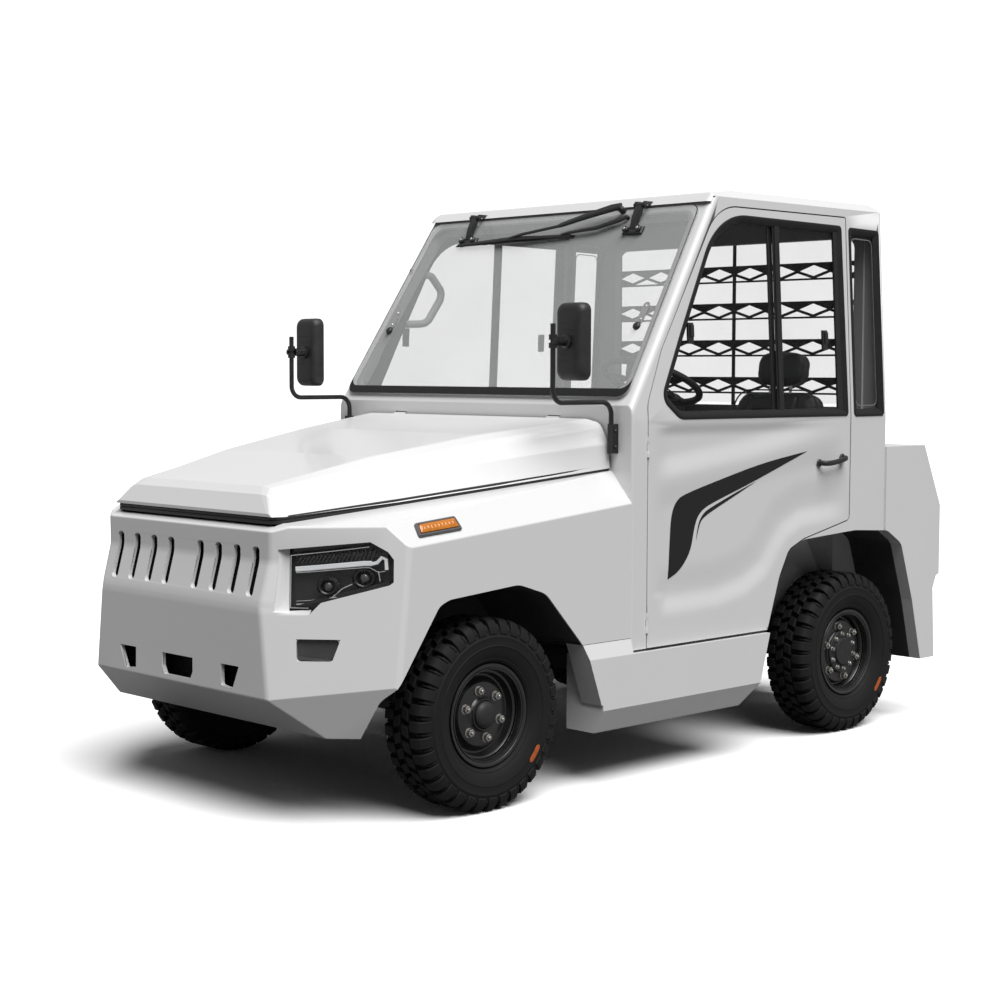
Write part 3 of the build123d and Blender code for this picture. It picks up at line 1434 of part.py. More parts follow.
# ================================================================ rear axle
rear_tube_half = rear_half_track - rim_width / 2 + 20
with BuildPart() as rear_axle:
    rear_x = ahead(rear_station)
    with Locations(Location((rear_x, 0, tyre_radius), (90, 0, 0))):
        Cylinder(axle_tube_radius, 2 * rear_tube_half)
    with Locations(Location((rear_x, 0, tyre_radius), (90, 0, 0))):
        Cylinder(spindle_radius, 2 * (rear_half_track + disc_offset - 2))
    with Locations((rear_x, 0, tyre_radius)):
        Sphere(differential_radius)
    for side in (-1, 1):
        with Locations((rear_x, side * (rail_inner + rail_width / 2), (tyre_radius + rail_bottom) / 2)):
            Box(300, rail_width - 8, rail_bottom - tyre_radius)
save(rear_axle, "rear_axle")
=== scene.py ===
"""Airport baggage tug with a two-seat cab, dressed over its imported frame.

Metres. +X is forward, +Y the tug's left, +Z up, the ground at zero. The sections follow the tug as it is
put together: wheels, axles and frame first, then the body, the cab, its glass and its fittings."""

from math import cos, exp, pi, radians, sin, tan

import bmesh
import bpy
from mathutils import Matrix, Vector
from mathutils.geometry import delaunay_2d_cdt


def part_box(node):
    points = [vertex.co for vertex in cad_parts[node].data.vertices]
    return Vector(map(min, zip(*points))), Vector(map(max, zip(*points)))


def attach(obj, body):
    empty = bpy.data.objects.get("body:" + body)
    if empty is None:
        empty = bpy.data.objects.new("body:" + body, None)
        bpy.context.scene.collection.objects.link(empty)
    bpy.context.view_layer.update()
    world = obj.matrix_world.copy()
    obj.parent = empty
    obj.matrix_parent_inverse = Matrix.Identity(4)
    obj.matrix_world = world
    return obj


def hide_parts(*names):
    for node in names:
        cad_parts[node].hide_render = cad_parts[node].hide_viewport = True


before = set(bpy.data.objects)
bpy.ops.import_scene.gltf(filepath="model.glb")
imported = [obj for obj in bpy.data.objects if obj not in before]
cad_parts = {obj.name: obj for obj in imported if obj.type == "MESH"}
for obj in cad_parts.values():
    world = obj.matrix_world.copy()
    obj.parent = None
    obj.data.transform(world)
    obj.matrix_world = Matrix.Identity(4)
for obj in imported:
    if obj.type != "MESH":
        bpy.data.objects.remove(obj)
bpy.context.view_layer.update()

scene = bpy.context.scene

# ---------------------------------------------------------------- the place where the tug stands
# A plain pale studio: a seamless floor, one broad soft source high on the tug's left and an even fill.
# The floor and backdrop look white to the eye and to glass and metal, and give little light of their own.
floor_half = 60.0
floor_mesh = bpy.data.meshes.new("studio_floor")
floor_mesh.from_pydata(
    [(-floor_half, -floor_half, 0), (floor_half, -floor_half, 0), (floor_half, floor_half, 0), (-floor_half, floor_half, 0)],
    [],
    [(0, 1, 2, 3)],
)
studio_floor = bpy.data.objects.new("studio_floor", floor_mesh)
scene.collection.objects.link(studio_floor)

floor_finish = bpy.data.materials.new("pale_floor")
floor_finish.use_nodes = True
floor_nodes, floor_links = floor_finish.node_tree.nodes, floor_finish.node_tree.links
floor_nodes.clear()
floor_out = floor_nodes.new("ShaderNodeOutputMaterial")
floor_diffuse = floor_nodes.new("ShaderNodeBsdfDiffuse")
floor_tone = floor_nodes.new("ShaderNodeMix")
floor_tone.data_type = "RGBA"
floor_tone.inputs["A"].default_value = (0.10, 0.10, 0.10, 1)
floor_tone.inputs["B"].default_value = (1.22, 1.22, 1.22, 1)
floor_path = floor_nodes.new("ShaderNodeLightPath")
floor_seen = floor_nodes.new("ShaderNodeMath")
floor_seen.operation = "ADD"
floor_seen.use_clamp = True
floor_seen_more = floor_nodes.new("ShaderNodeMath")
floor_seen_more.operation = "MULTIPLY_ADD"
floor_seen_more.inputs[1].default_value = 0.22
floor_seen_more.use_clamp = True
floor_links.new(floor_path.outputs["Is Camera Ray"], floor_seen.inputs[0])
floor_links.new(floor_path.outputs["Is Transmission Ray"], floor_seen.inputs[1])
floor_links.new(floor_path.outputs["Is Glossy Ray"], floor_seen_more.inputs[0])
floor_links.new(floor_seen.outputs[0], floor_seen_more.inputs[2])
floor_links.new(floor_seen_more.outputs[0], floor_tone.inputs["Factor"])
floor_links.new(floor_tone.outputs["Result"], floor_diffuse.inputs["Color"])
floor_links.new(floor_diffuse.outputs["BSDF"], floor_out.inputs["Surface"])
floor_mesh.materials.append(floor_finish)

studio = bpy.data.worlds.new("studio")
studio.use_nodes = True
scene.world = studio
world_nodes, world_links = studio.node_tree.nodes, studio.node_tree.links
world_nodes.clear()
world_out = world_nodes.new("ShaderNodeOutputWorld")
world_light = world_nodes.new("ShaderNodeBackground")
world_light.inputs["Color"].default_value = (1, 1, 1, 1)
world_path = world_nodes.new("ShaderNodeLightPath")
world_seen = world_nodes.new("ShaderNodeMath")
world_seen.operation = "ADD"
world_seen.use_clamp = True
world_strength = world_nodes.new("ShaderNodeMix")
world_strength.data_type = "FLOAT"
world_strength.inputs["A"].default_value = 0.10
world_strength.inputs["B"].default_value = 1.15
world_gloss = world_nodes.new("ShaderNodeMath")
world_gloss.operation = "MULTIPLY_ADD"
world_gloss.inputs[1].default_value = 0.38
world_links.new(world_path.outputs["Is Camera Ray"], world_seen.inputs[0])
world_links.new(world_path.outputs["Is Transmission Ray"], world_seen.inputs[1])
world_links.new(world_path.outputs["Is Glossy Ray"], world_gloss.inputs[0])
world_links.new(world_seen.outputs[0], world_gloss.inputs[2])
world_links.new(world_gloss.outputs[0], world_strength.inputs["Factor"])
world_links.new(world_strength.outputs["Result"], world_light.inputs["Strength"])
world_links.new(world_light.outputs["Background"], world_out.inputs["Surface"])

soft_source = bpy.data.lights.new("soft_source", "SUN")
soft_source.energy = 3.9
soft_source.angle = radians(50)
soft_lamp = bpy.data.objects.new("soft_source", soft_source)
soft_lamp.rotation_euler = Vector((0.137, 0.45, 0.88)).to_track_quat("Z", "Y").to_euler()
scene.collection.objects.link(soft_lamp)
scene.view_settings.view_transform = "Standard"

view_from = Vector((5.1959, 5.1523, 1.4536))
view_yaw, view_pitch, view_roll = radians(45.914), radians(4.010), radians(0.1486)
view_along = Vector((-cos(view_yaw) * cos(view_pitch), -sin(view_yaw) * cos(view_pitch), -sin(view_pitch)))
view_right = Vector((-sin(view_yaw), cos(view_yaw), 0))
view_up = view_right.cross(view_along)
view_right, view_up = (
    view_right * cos(view_roll) + view_up * sin(view_roll),
    view_up * cos(view_roll) - view_right * sin(view_roll),
)
camera = bpy.data.objects.new("camera", bpy.data.cameras.new("camera"))
camera.data.lens = 67.5
camera.data.sensor_width = 36
camera.data.clip_end = 200
camera.matrix_world = Matrix.Translation(view_from) @ Matrix((view_right, view_up, -view_along)).transposed().to_4x4()
scene.collection.objects.link(camera)
scene.camera = camera

# ---------------------------------------------------------------- tyres
# Four cross-ply industrial tyres, black rubber moulded with a rib-and-lug tread: square shoulder lugs, two
# rows of offset centre blocks, and sidewalls with raised rings. Each is one moulding, mounted on its rim.
def uneven_group():
    """A shader group that mottles a colour and a roughness over a surface, as handling and dust do."""
    group = bpy.data.node_groups.new("uneven_finish", "ShaderNodeTree")
    face = group.interface
    for label, kind, start in (
        ("Colour", "NodeSocketColor", (0.8, 0.8, 0.8, 1)),
        ("Second Colour", "NodeSocketColor", (0.6, 0.6, 0.6, 1)),
        ("Amount", "NodeSocketFloat", 0.3),
        ("Patch Size", "NodeSocketFloat", 4.0),
        ("Roughness", "NodeSocketFloat", 0.5),
        ("Roughness Range", "NodeSocketFloat", 0.1),
    ):
        socket = face.new_socket(label, in_out="INPUT", socket_type=kind)
        socket.default_value = start
    face.new_socket("Colour", in_out="OUTPUT", socket_type="NodeSocketColor")
    face.new_socket("Roughness", in_out="OUTPUT", socket_type="NodeSocketFloat")
    nodes, links = group.nodes, group.links
    given = nodes.new("NodeGroupInput")
    result = nodes.new("NodeGroupOutput")
    place = nodes.new("ShaderNodeTexCoord")
    patches = nodes.new("ShaderNodeTexNoise")
    patches.inputs["Detail"].default_value = 6
    patches.inputs["Roughness"].default_value = 0.6
    spread = nodes.new("ShaderNodeMapRange")
    spread.inputs["From Min"].default_value = 0.38
    spread.inputs["From Max"].default_value = 0.68
    share = nodes.new("ShaderNodeMath")
    share.operation = "MULTIPLY"
    blend = nodes.new("ShaderNodeMix")
    blend.data_type = "RGBA"
    rough = nodes.new("ShaderNodeMath")
    rough.operation = "MULTIPLY_ADD"
    links.new(place.outputs["Object"], patches.inputs["Vector"])
    links.new(given.outputs["Patch Size"], patches.inputs["Scale"])
    links.new(patches.outputs["Fac"], spread.inputs["Value"])
    links.new(spread.outputs["Result"], share.inputs[0])
    links.new(given.outputs["Amount"], share.inputs[1])
    links.new(share.outputs[0], blend.inputs["Factor"])
    links.new(given.outputs["Colour"], blend.inputs["A"])
    links.new(given.outputs["Second Colour"], blend.inputs["B"])
    links.new(spread.outputs["Result"], rough.inputs[0])
    links.new(given.outputs["Roughness Range"], rough.inputs[1])
    links.new(given.outputs["Roughness"], rough.inputs[2])
    links.new(blend.outputs["Result"], result.inputs["Colour"])
    links.new(rough.outputs[0], result.inputs["Roughness"])
    return group


uneven = uneven_group()


def finish(name, colour, second, amount=0.3, patch=5.0, rough=0.5, rough_range=0.1, grain=900.0, bump=0.15, depth=0.0004, **more):
    """A procedural finish: a mottled colour and roughness over a fine grain, and the shader's other sockets."""
    made = bpy.data.materials.new(name)
    made.use_nodes = True
    nodes, links = made.node_tree.nodes, made.node_tree.links
    shader = nodes["Principled BSDF"]
    mottle = nodes.new("ShaderNodeGroup")
    mottle.node_tree = uneven
    mottle.inputs["Colour"].default_value = (*colour, 1)
    mottle.inputs["Second Colour"].default_value = (*second, 1)
    mottle.inputs["Amount"].default_value = amount
    mottle.inputs["Patch Size"].default_value = patch
    mottle.inputs["Roughness"].default_value = rough
    mottle.inputs["Roughness Range"].default_value = rough_range
    links.new(mottle.outputs["Colour"], shader.inputs["Base Color"])
    links.new(mottle.outputs["Roughness"], shader.inputs["Roughness"])
    place = nodes.new("ShaderNodeTexCoord")
    texture = nodes.new("ShaderNodeTexNoise")
    texture.inputs["Scale"].default_value = grain
    texture.inputs["Detail"].default_value = 3
    relief = nodes.new("ShaderNodeBump")
    relief.inputs["Strength"].default_value = bump
    relief.inputs["Distance"].default_value = depth
    links.new(place.outputs["Object"], texture.inputs["Vector"])
    links.new(texture.outputs["Fac"], relief.inputs["Height"])
    links.new(relief.outputs["Normal"], shader.inputs["Normal"])
    for socket, value in more.items():
        shader.inputs[socket.replace("_", " ")].default_value = value
    return made


def piece(name, mesh, material, body, smooth=32.0):
    """A finished object from a mesh, its soft folds shaded smooth, riding on a body."""
    if not mesh.materials:
        mesh.materials.append(material)
    for face in mesh.polygons:
        face.use_smooth = True
    mesh.set_sharp_from_angle(angle=radians(smooth))
    made = bpy.data.objects.new(name, mesh)
    scene.collection.objects.link(made)
    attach(made, body)
    return made


def mesh_of(bm, name):
    """A mesh from a bmesh, its doubles merged and its faces turned outwards."""
    bmesh.ops.remove_doubles(bm, verts=bm.verts, dist=0.00002)
    bmesh.ops.recalc_face_normals(bm, faces=bm.faces)
    mesh = bpy.data.meshes.new(name)
    bm.to_mesh(mesh)
    bm.free()
    return mesh


def turned(bm, profile, centre, axis, steps=96, closed=False):
    """Turns a profile of (distance along the axis, radius) about an axis through the centre."""
    axis = Vector(axis).normalized()
    across = axis.orthogonal().normalized()
    other = axis.cross(across)
    rings = []
    for step in range(steps):
        angle = 2 * pi * step / steps
        out = across * cos(angle) + other * sin(angle)
        rings.append([bm.verts.new(Vector(centre) + axis * along + out * radius) for along, radius in profile])
    spans = len(profile) if closed else len(profile) - 1
    for step in range(steps):
        near, far = rings[step], rings[(step + 1) % steps]
        for i in range(spans):
            j = (i + 1) % len(profile)
            corners = [near[i], far[i], far[j], near[j]]
            bm.faces.new(corners)


rubber = finish("tyre_rubber", (0.008, 0.008, 0.0083), (0.017, 0.0165, 0.016), 0.55, 9, 0.62, 0.2, 700, 0.35, 0.0006, Specular_IOR_Level=0.22)
orange_mark = finish("balance_mark", (0.55, 0.12, 0.02), (0.32, 0.07, 0.015), 0.7, 60, 0.6, 0.2, 900, 0.3, 0.0004)
wheels = (
    ("front_left", 1),
    ("front_right", -1),
    ("rear_left", 1),
    ("rear_right", -1),
)
tyre_lugs = 36


def ring_tree():
    """A Geometry Nodes tree that sets copies of its input round an axle at a place, evenly turned."""
    tree = bpy.data.node_groups.new("ring_of_copies", "GeometryNodeTree")
    face = tree.interface
    face.new_socket("Geometry", in_out="INPUT", socket_type="NodeSocketGeometry")
    face.new_socket("Count", in_out="INPUT", socket_type="NodeSocketInt")
    face.new_socket("Place", in_out="INPUT", socket_type="NodeSocketVector")
    face.new_socket("Start Turn", in_out="INPUT", socket_type="NodeSocketFloat")
    face.new_socket("Finish", in_out="INPUT", socket_type="NodeSocketMaterial")
    face.new_socket("Geometry", in_out="OUTPUT", socket_type="NodeSocketGeometry")
    nodes, links = tree.nodes, tree.links
    given, result = nodes.new("NodeGroupInput"), nodes.new("NodeGroupOutput")
    spots = nodes.new("GeometryNodePoints")
    index = nodes.new("GeometryNodeInputIndex")
    share = nodes.new("ShaderNodeMath")
    share.operation = "DIVIDE"
    angle = nodes.new("ShaderNodeMath")
    angle.operation = "MULTIPLY_ADD"
    angle.inputs[1].default_value = 2 * pi
    turn = nodes.new("FunctionNodeAxisAngleToRotation")
    turn.inputs["Axis"].default_value = (0, 1, 0)
    copies = nodes.new("GeometryNodeInstanceOnPoints")
    real = nodes.new("GeometryNodeRealizeInstances")
    dress = nodes.new("GeometryNodeSetMaterial")
    links.new(given.outputs["Count"], spots.inputs["Count"])
    links.new(given.outputs["Place"], spots.inputs["Position"])
    links.new(index.outputs["Index"], share.inputs[0])
    links.new(given.outputs["Count"], share.inputs[1])
    links.new(share.outputs[0], angle.inputs[0])
    links.new(given.outputs["Start Turn"], angle.inputs[2])
    links.new(angle.outputs[0], turn.inputs["Angle"])
    links.new(spots.outputs["Points"] if "Points" in spots.outputs else spots.outputs[0], copies.inputs["Points"])
    links.new(given.outputs["Geometry"], copies.inputs["Instance"])
    links.new(turn.outputs["Rotation"], copies.inputs["Rotation"])
    links.new(copies.outputs["Instances"], real.inputs["Geometry"])
    links.new(real.outputs["Geometry"], dress.inputs["Geometry"])
    links.new(given.outputs["Finish"], dress.inputs["Material"])
    links.new(dress.outputs["Geometry"], result.inputs["Geometry"])
    return tree


ring_of_copies = ring_tree()


def baked(mesh, tree, values, name):
    """The plain mesh that a Geometry Nodes tree makes from a mesh, with the tree's named inputs set."""
    holder = bpy.data.objects.new("holder", mesh)
    scene.collection.objects.link(holder)
    modifier = holder.modifiers.new("nodes", "NODES")
    modifier.node_group = tree
    for socket in tree.interface.items_tree:
        if socket.in_out == "INPUT" and socket.name in values:
            modifier[socket.identifier] = values[socket.name]
    holder.update_tag()
    bpy.context.view_layer.update()
    seen = holder.evaluated_get(bpy.context.evaluated_depsgraph_get())
    made = bpy.data.meshes.new_from_object(seen)
    made.name = name
    bpy.data.objects.remove(holder)
    return made


def joined(meshes, name):
    """One mesh from several that share their materials' order."""
    bm = bmesh.new()
    materials = []
    for mesh in meshes:
        start = len(bm.faces)
        bm.from_mesh(mesh)
        bm.faces.ensure_lookup_table()
        for material in mesh.materials:
            if material not in materials:
                materials.append(material)
        for face in bm.faces[start:]:
            owner = mesh.materials[face.material_index] if mesh.materials else None
            face.material_index = materials.index(owner) if owner else 0
    made = bpy.data.meshes.new(name)
    bm.to_mesh(made)
    bm.free()
    for material in materials:
        made.materials.append(material)
    return made


def middle(node):
    """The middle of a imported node's box."""
    low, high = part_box(node)
    return (Vector(low) + Vector(high)) / 2


def block_of(outline, half_angle, slant, name, shift=0.0, ease=0.0016):
    """A tread block: an outline of (across the tyre, radius, share of the width), its ends angled by a slant."""
    bm = bmesh.new()
    ends = []
    for end in (-1, 1):
        loop = []
        for across, radius, share in outline:
            turn = end * half_angle * share + slant * across + shift
            loop.append(bm.verts.new((radius * sin(turn), across, radius * cos(turn))))
        ends.append(loop)
    count = len(outline)
    bm.faces.new(ends[0])
    bm.faces.new(list(reversed(ends[1])))
    for i in range(count):
        j = (i + 1) % count
        bm.faces.new((ends[0][i], ends[0][j], ends[1][j], ends[1][i]))
    bmesh.ops.recalc_face_normals(bm, faces=bm.faces)
    crisp = [edge for edge in bm.edges if edge.calc_face_angle(0) > 0.6]
    bmesh.ops.bevel(bm, geom=crisp, offset=ease, segments=1, profile=0.5, affect="EDGES")
    return mesh_of(bm, name)


tyre_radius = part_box("tyre_front_left")[1].z / 2
shoulder_block = [
    (0.041, 0.296, 1.12), (0.041, 0.3196, 0.92), (0.066, 0.3198, 0.96), (0.083, 0.3136, 1.0),
    (0.0968, 0.2925, 1.06), (0.0992, 0.272, 1.12), (0.094, 0.268, 1.15),
]
shoulder_tie = [(0.060, 0.296, 1.0), (0.062, 0.3085, 0.9), (0.086, 0.300, 0.9), (0.0955, 0.283, 1.0), (0.092, 0.270, 1.1)]
centre_block = [(0.003, 0.296, 1.1), (0.003, 0.3196, 0.94), (0.034, 0.3196, 0.94), (0.037, 0.296, 1.1)]
carcass = [
    (0.0650, 0.1590), (0.0655, 0.1735), (0.0745, 0.1770), (0.0800, 0.1812), (0.0838, 0.1872), (0.0832, 0.1895),
    (0.0872, 0.1955), (0.0915, 0.2050), (0.0955, 0.2170), (0.0982, 0.2290), (0.0996, 0.2292), (0.1000, 0.2318),
    (0.0986, 0.2340), (0.0990, 0.2440), (0.0984, 0.2560), (0.0992, 0.2580), (0.0990, 0.2612), (0.0968, 0.2640),
    (0.0950, 0.2740), (0.0905, 0.2860), (0.0820, 0.2960), (0.0620, 0.3010), (0.0200, 0.3022), (0.0, 0.3024),
]
for wheel, side in wheels:
    node = f"tyre_{wheel}"
    hub = middle(node)
    bm = bmesh.new()
    outer = [(across, radius) for across, radius in carcass]
    inner = [(-across, radius) for across, radius in reversed(carcass[:-1])]
    turned(bm, outer + inner, hub, (0, 1, 0), 144, closed=True)
    carcass_mesh = mesh_of(bm, "carcass")
    carcass_mesh.materials.append(rubber)
    parts = [carcass_mesh]
    rows = (
        (shoulder_block, radians(3.15), 0.0, 0.0, 1),
        (shoulder_block, radians(3.15), 0.0, pi / tyre_lugs, -1),
        (shoulder_tie, radians(0.85), 0.0, pi / tyre_lugs, 1),
        (shoulder_tie, radians(0.85), 0.0, 0.0, -1),
        (centre_block, radians(3.3), radians(2.4) / 0.035, 0.4 * pi / tyre_lugs, 1),
        (centre_block, radians(3.3), radians(2.4) / 0.035, 1.4 * pi / tyre_lugs, -1),
    )
    for outline, half_angle, slant, start, hand in rows:
        points = [(across * hand, radius, share) for across, radius, share in outline]
        block = block_of(points, half_angle, slant * hand, "block")
        parts.append(
            baked(block, ring_of_copies, {"Count": tyre_lugs, "Place": hub, "Start Turn": start, "Finish": rubber}, "row")
        )
    tyre = piece(f"tread_{wheel}", joined(parts, node), rubber, f"wheel_{wheel}", 28)
    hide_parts(node)

    bm = bmesh.new()
    patch = []
    mark_radii = (0.2345, 0.2380, 0.2440, 0.2500, 0.2535)
    for step in range(9):
        turn = radians(-150 + 16 * step / 8)
        ends = 0.25 if step in (0, 8) else 1.0
        loop = []
        for radius in mark_radii:
            eased = 0.244 + (radius - 0.244) * ends
            lift = 0.0989 + (0.0004 if radius in mark_radii[1:-1] else -0.0002)
            loop.append(bm.verts.new(hub + Vector((eased * cos(turn), side * lift, eased * sin(turn)))))
        patch.append(loop)
    for near, far in zip(patch, patch[1:]):
        for i in range(len(near) - 1):
            bm.faces.new((near[i], near[i + 1], far[i + 1], far[i]))
    mark_mesh = mesh_of(bm, "mark")
    if (mark_mesh.polygons[0].normal.y > 0) != (side > 0):
        mark_mesh.flip_normals()
    mark = piece(f"tyre_mark_{wheel}", mark_mesh, orange_mark, f"wheel_{wheel}", 60)

# ---------------------------------------------------------------- rims and hubs
# Pressed steel disc wheels, baked black: a flanged rim with a gutter for its lock ring, a dished disc welded
# in, six nuts on studs, and a hub. The front hub has a domed cap, the rear one a bolted axle flange.
rim_black = finish("rim_enamel", (0.006, 0.006, 0.0062), (0.014, 0.0135, 0.013), 0.4, 14, 0.30, 0.14, 260, 0.10, 0.0006, Coat_Weight=0.25, Coat_Roughness=0.2)
nut_steel = finish("zinc_steel", (0.36, 0.35, 0.33), (0.20, 0.19, 0.18), 0.5, 60, 0.32, 0.2, 900, 0.12, 0.0003, Metallic=0.9)
hub_grey = finish("hub_casting", (0.028, 0.028, 0.029), (0.016, 0.016, 0.016), 0.5, 30, 0.5, 0.2, 420, 0.35, 0.0006, Metallic=0.35)
rim_barrel = [
    (-0.0780, 0.1500), (-0.0780, 0.1700), (-0.0760, 0.1712), (-0.0725, 0.1702), (-0.0705, 0.1660), (-0.0695, 0.1586),
    (-0.0640, 0.1580), (-0.0200, 0.1560), (0.0200, 0.1560), (0.0640, 0.1580), (0.0695, 0.1586), (0.0705, 0.1660),
    (0.0725, 0.1702), (0.0760, 0.1712), (0.0780, 0.1700), (0.0786, 0.1660), (0.0776, 0.1618), (0.0752, 0.1592),
    (0.0728, 0.1590), (0.0722, 0.1562), (0.0752, 0.1545), (0.0750, 0.1518), (0.0700, 0.1500), (0.0560, 0.1492),
]
front_dish = [
    (0.0500, 0.1480), (0.0470, 0.1455), (0.0440, 0.1398), (0.0300, 0.1362), (0.0215, 0.1310), (0.0200, 0.1258),
    (0.0230, 0.1200), (0.0330, 0.1120), (0.0415, 0.1062), (0.0440, 0.1010), (0.0440, 0.0600), (0.0470, 0.0560),
    (0.0560, 0.0520), (0.0565, 0.0480), (0.0520, 0.0455),
]
rear_dish = [
    (0.0500, 0.1480), (0.0470, 0.1462), (0.0440, 0.1440), (0.0330, 0.1410), (0.0260, 0.1368), (0.0250, 0.1330),
    (0.0300, 0.1290), (0.0400, 0.1262), (0.0432, 0.1225), (0.0440, 0.1180), (0.0440, 0.0890), (0.0480, 0.0865),
    (0.0500, 0.0850), (0.0500, 0.0660), (0.0520, 0.0640),
]
front_cap = [(0.0500, 0.0450), (0.0620, 0.0445), (0.0640, 0.0430), (0.0690, 0.0395), (0.0735, 0.0330), (0.0765, 0.0230), (0.0778, 0.0110), (0.0780, 0.0)]
rear_cap = [(0.0440, 0.0860), (0.0560, 0.0850), (0.0580, 0.0830), (0.0580, 0.0560), (0.0600, 0.0540), (0.0660, 0.0530), (0.0672, 0.0515), (0.0672, 0.0200), (0.0672, 0.0)]


def bolt_of(radius, height, washer, corners, name):
    """A bolt or nut seen from its end, at the top of a ring of the given radius, washer and chamfer included."""
    ring_radius, base, across = radius
    bm = bmesh.new()
    for reach, low, high, count in ((washer, base, base + 0.002, 20), (across, base + 0.002, base + height, corners)):
        levels = []
        for level, (size, out) in enumerate(((reach, low), (reach, high - 0.0012), (reach * 0.86, high))):
            levels.append(
                [
                    bm.verts.new(
                        (size * cos(2 * pi * i / count), out, ring_radius + size * sin(2 * pi * i / count))
                    )
                    for i in range(count)
                ]
            )
        bm.faces.new(levels[0])
        bm.faces.new(list(reversed(levels[-1])))
        for near, far in zip(levels, levels[1:]):
            for i in range(count):
                j = (i + 1) % count
                bm.faces.new((near[i], near[j], far[j], far[i]))
    if height > 0.014:
        stud = []
        for size, out in ((0.0062, base + height - 0.001), (0.0062, base + height + 0.0055), (0.0045, base + height + 0.007)):
            stud.append([bm.verts.new((size * cos(2 * pi * i / 12), out, ring_radius + size * sin(2 * pi * i / 12))) for i in range(12)])
        bm.faces.new(stud[0])
        bm.faces.new(list(reversed(stud[-1])))
        for near, far in zip(stud, stud[1:]):
            for i in range(12):
                bm.faces.new((near[i], near[(i + 1) % 12], far[(i + 1) % 12], far[i]))
    return mesh_of(bm, name)


for wheel, side in wheels:
    node = f"rim_{wheel}"
    tyre_node = f"tyre_{wheel}"
    hub = middle(tyre_node)
    axis = (0, side, 0)
    front = wheel.startswith("front")
    dish = front_dish if front else rear_dish
    bm = bmesh.new()
    back = [(0.0380, 0.1470), (-0.0640, 0.1470), (-0.0700, 0.1500)]
    turned(bm, rim_barrel + [(0.0500, 0.1480)] + back, hub, axis, 120, closed=True)
    disc = dish + [(0.040, dish[-1][1]), (0.030, 0.060 if not front else 0.050), (0.030, 0.100), (0.012, 0.120), (0.012, 0.132), (0.030, 0.146), (0.038, 0.148)]
    turned(bm, disc, hub, axis, 120, closed=True)
    rim_mesh = mesh_of(bm, "rim")
    rim_mesh.materials.append(rim_black)
    parts = [rim_mesh]
    bm = bmesh.new()
    cap = front_cap if front else rear_cap
    turned(bm, [(-0.048, 0.0), (-0.048, 0.050), (0.030, 0.050), (0.030, cap[0][1])] + cap, hub, axis, 72)
    cap_mesh = mesh_of(bm, "hub")
    cap_mesh.materials.append(hub_grey)
    parts.append(cap_mesh)
    nut_ring = 0.081 if front else 0.104
    nut = bolt_of((nut_ring, 0.044, 0.0135), 0.0165, 0.0165, 6, "nut")
    bolt = bolt_of((0.071, 0.058, 0.0075), 0.009, 0.0095, 6, "bolt")
    rings = [(nut, 6, radians(12))] + ([] if front else [(bolt, 10, radians(5))])
    for mesh, count, start in rings:
        if side < 0:
            for vertex in mesh.vertices:
                vertex.co.y = -vertex.co.y
            mesh.flip_normals()
        parts.append(baked(mesh, ring_of_copies, {"Count": count, "Place": hub, "Start Turn": start, "Finish": nut_steel}, "nuts"))
    rim = piece(f"rim_and_hub_{wheel}", joined(parts, node), rim_black, f"wheel_{wheel}", 30)
    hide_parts(node)

# ---------------------------------------------------------------- frame, axles and engine
# Welded box-section rails with crossmembers, a front beam axle on its springs, a rear drive axle and the
# engine's block. Steel, sprayed in black chassis paint over a coarse surface, dull and a little dusty.
def keep_shape(finish_of_node, smooth=None):
    """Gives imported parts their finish, leaving their shape alone."""
    for node, material in finish_of_node.items():
        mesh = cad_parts[node].data
        mesh.materials.clear()
        mesh.materials.append(material)


chassis_black = finish("chassis_paint", (0.014, 0.014, 0.0145), (0.045, 0.042, 0.038), 0.5, 7, 0.5, 0.25, 320, 0.3, 0.0008)
casting = finish("axle_casting", (0.03, 0.03, 0.031), (0.07, 0.066, 0.06), 0.5, 16, 0.6, 0.2, 210, 0.6, 0.0012)
engine_paint = finish("engine_paint", (0.06, 0.062, 0.065), (0.035, 0.034, 0.033), 0.6, 9, 0.5, 0.2, 160, 0.5, 0.0012)
bright_steel = finish("ground_steel", (0.52, 0.52, 0.51), (0.36, 0.35, 0.33), 0.5, 60, 0.28, 0.15, 1200, 0.1, 0.0002, Metallic=1.0)
keep_shape(
    {
        "frame": chassis_black, "front_axle": casting, "rear_axle": casting, "engine_block": engine_paint,
        "knuckle_left": casting, "knuckle_right": casting, "tie_rod": chassis_black,
        "tow_coupling": chassis_black, "tow_pin": bright_steel,
    }
)

# ---------------------------------------------------------------- front body
# The nose, fenders and shoulders: one 6 mm folded and welded steel shell, sprayed in gloss white. Slots and
# openings are cut through it, each with a turned-in lip; dark liners close the wheel arches from inside.
def at(station, y, z):
    """A place from its station ahead of the front axle, half width and height, in millimetres."""
    return Vector((front_axle_x + station / 1000, y / 1000, z / 1000))


front_axle_x = middle("tyre_front_left").x
body_white = finish(
    "gloss_white", (0.80, 0.80, 0.80), (0.745, 0.745, 0.742), 0.35, 2.2, 0.30, 0.10, 75, 0.05, 0.0008,
    Specular_IOR_Level=0.45, Coat_Weight=0.35, Coat_Roughness=0.12,
)
liner_plastic = finish("arch_liner", (0.022, 0.022, 0.023), (0.036, 0.036, 0.036), 0.5, 8, 0.6, 0.15, 480, 0.45, 0.0006)
shade_black = finish("inner_black", (0.006, 0.006, 0.006), (0.012, 0.012, 0.012), 0.5, 6, 0.75, 0.1, 200, 0.3, 0.0008)
keep_shape({"arch_liners": liner_plastic})


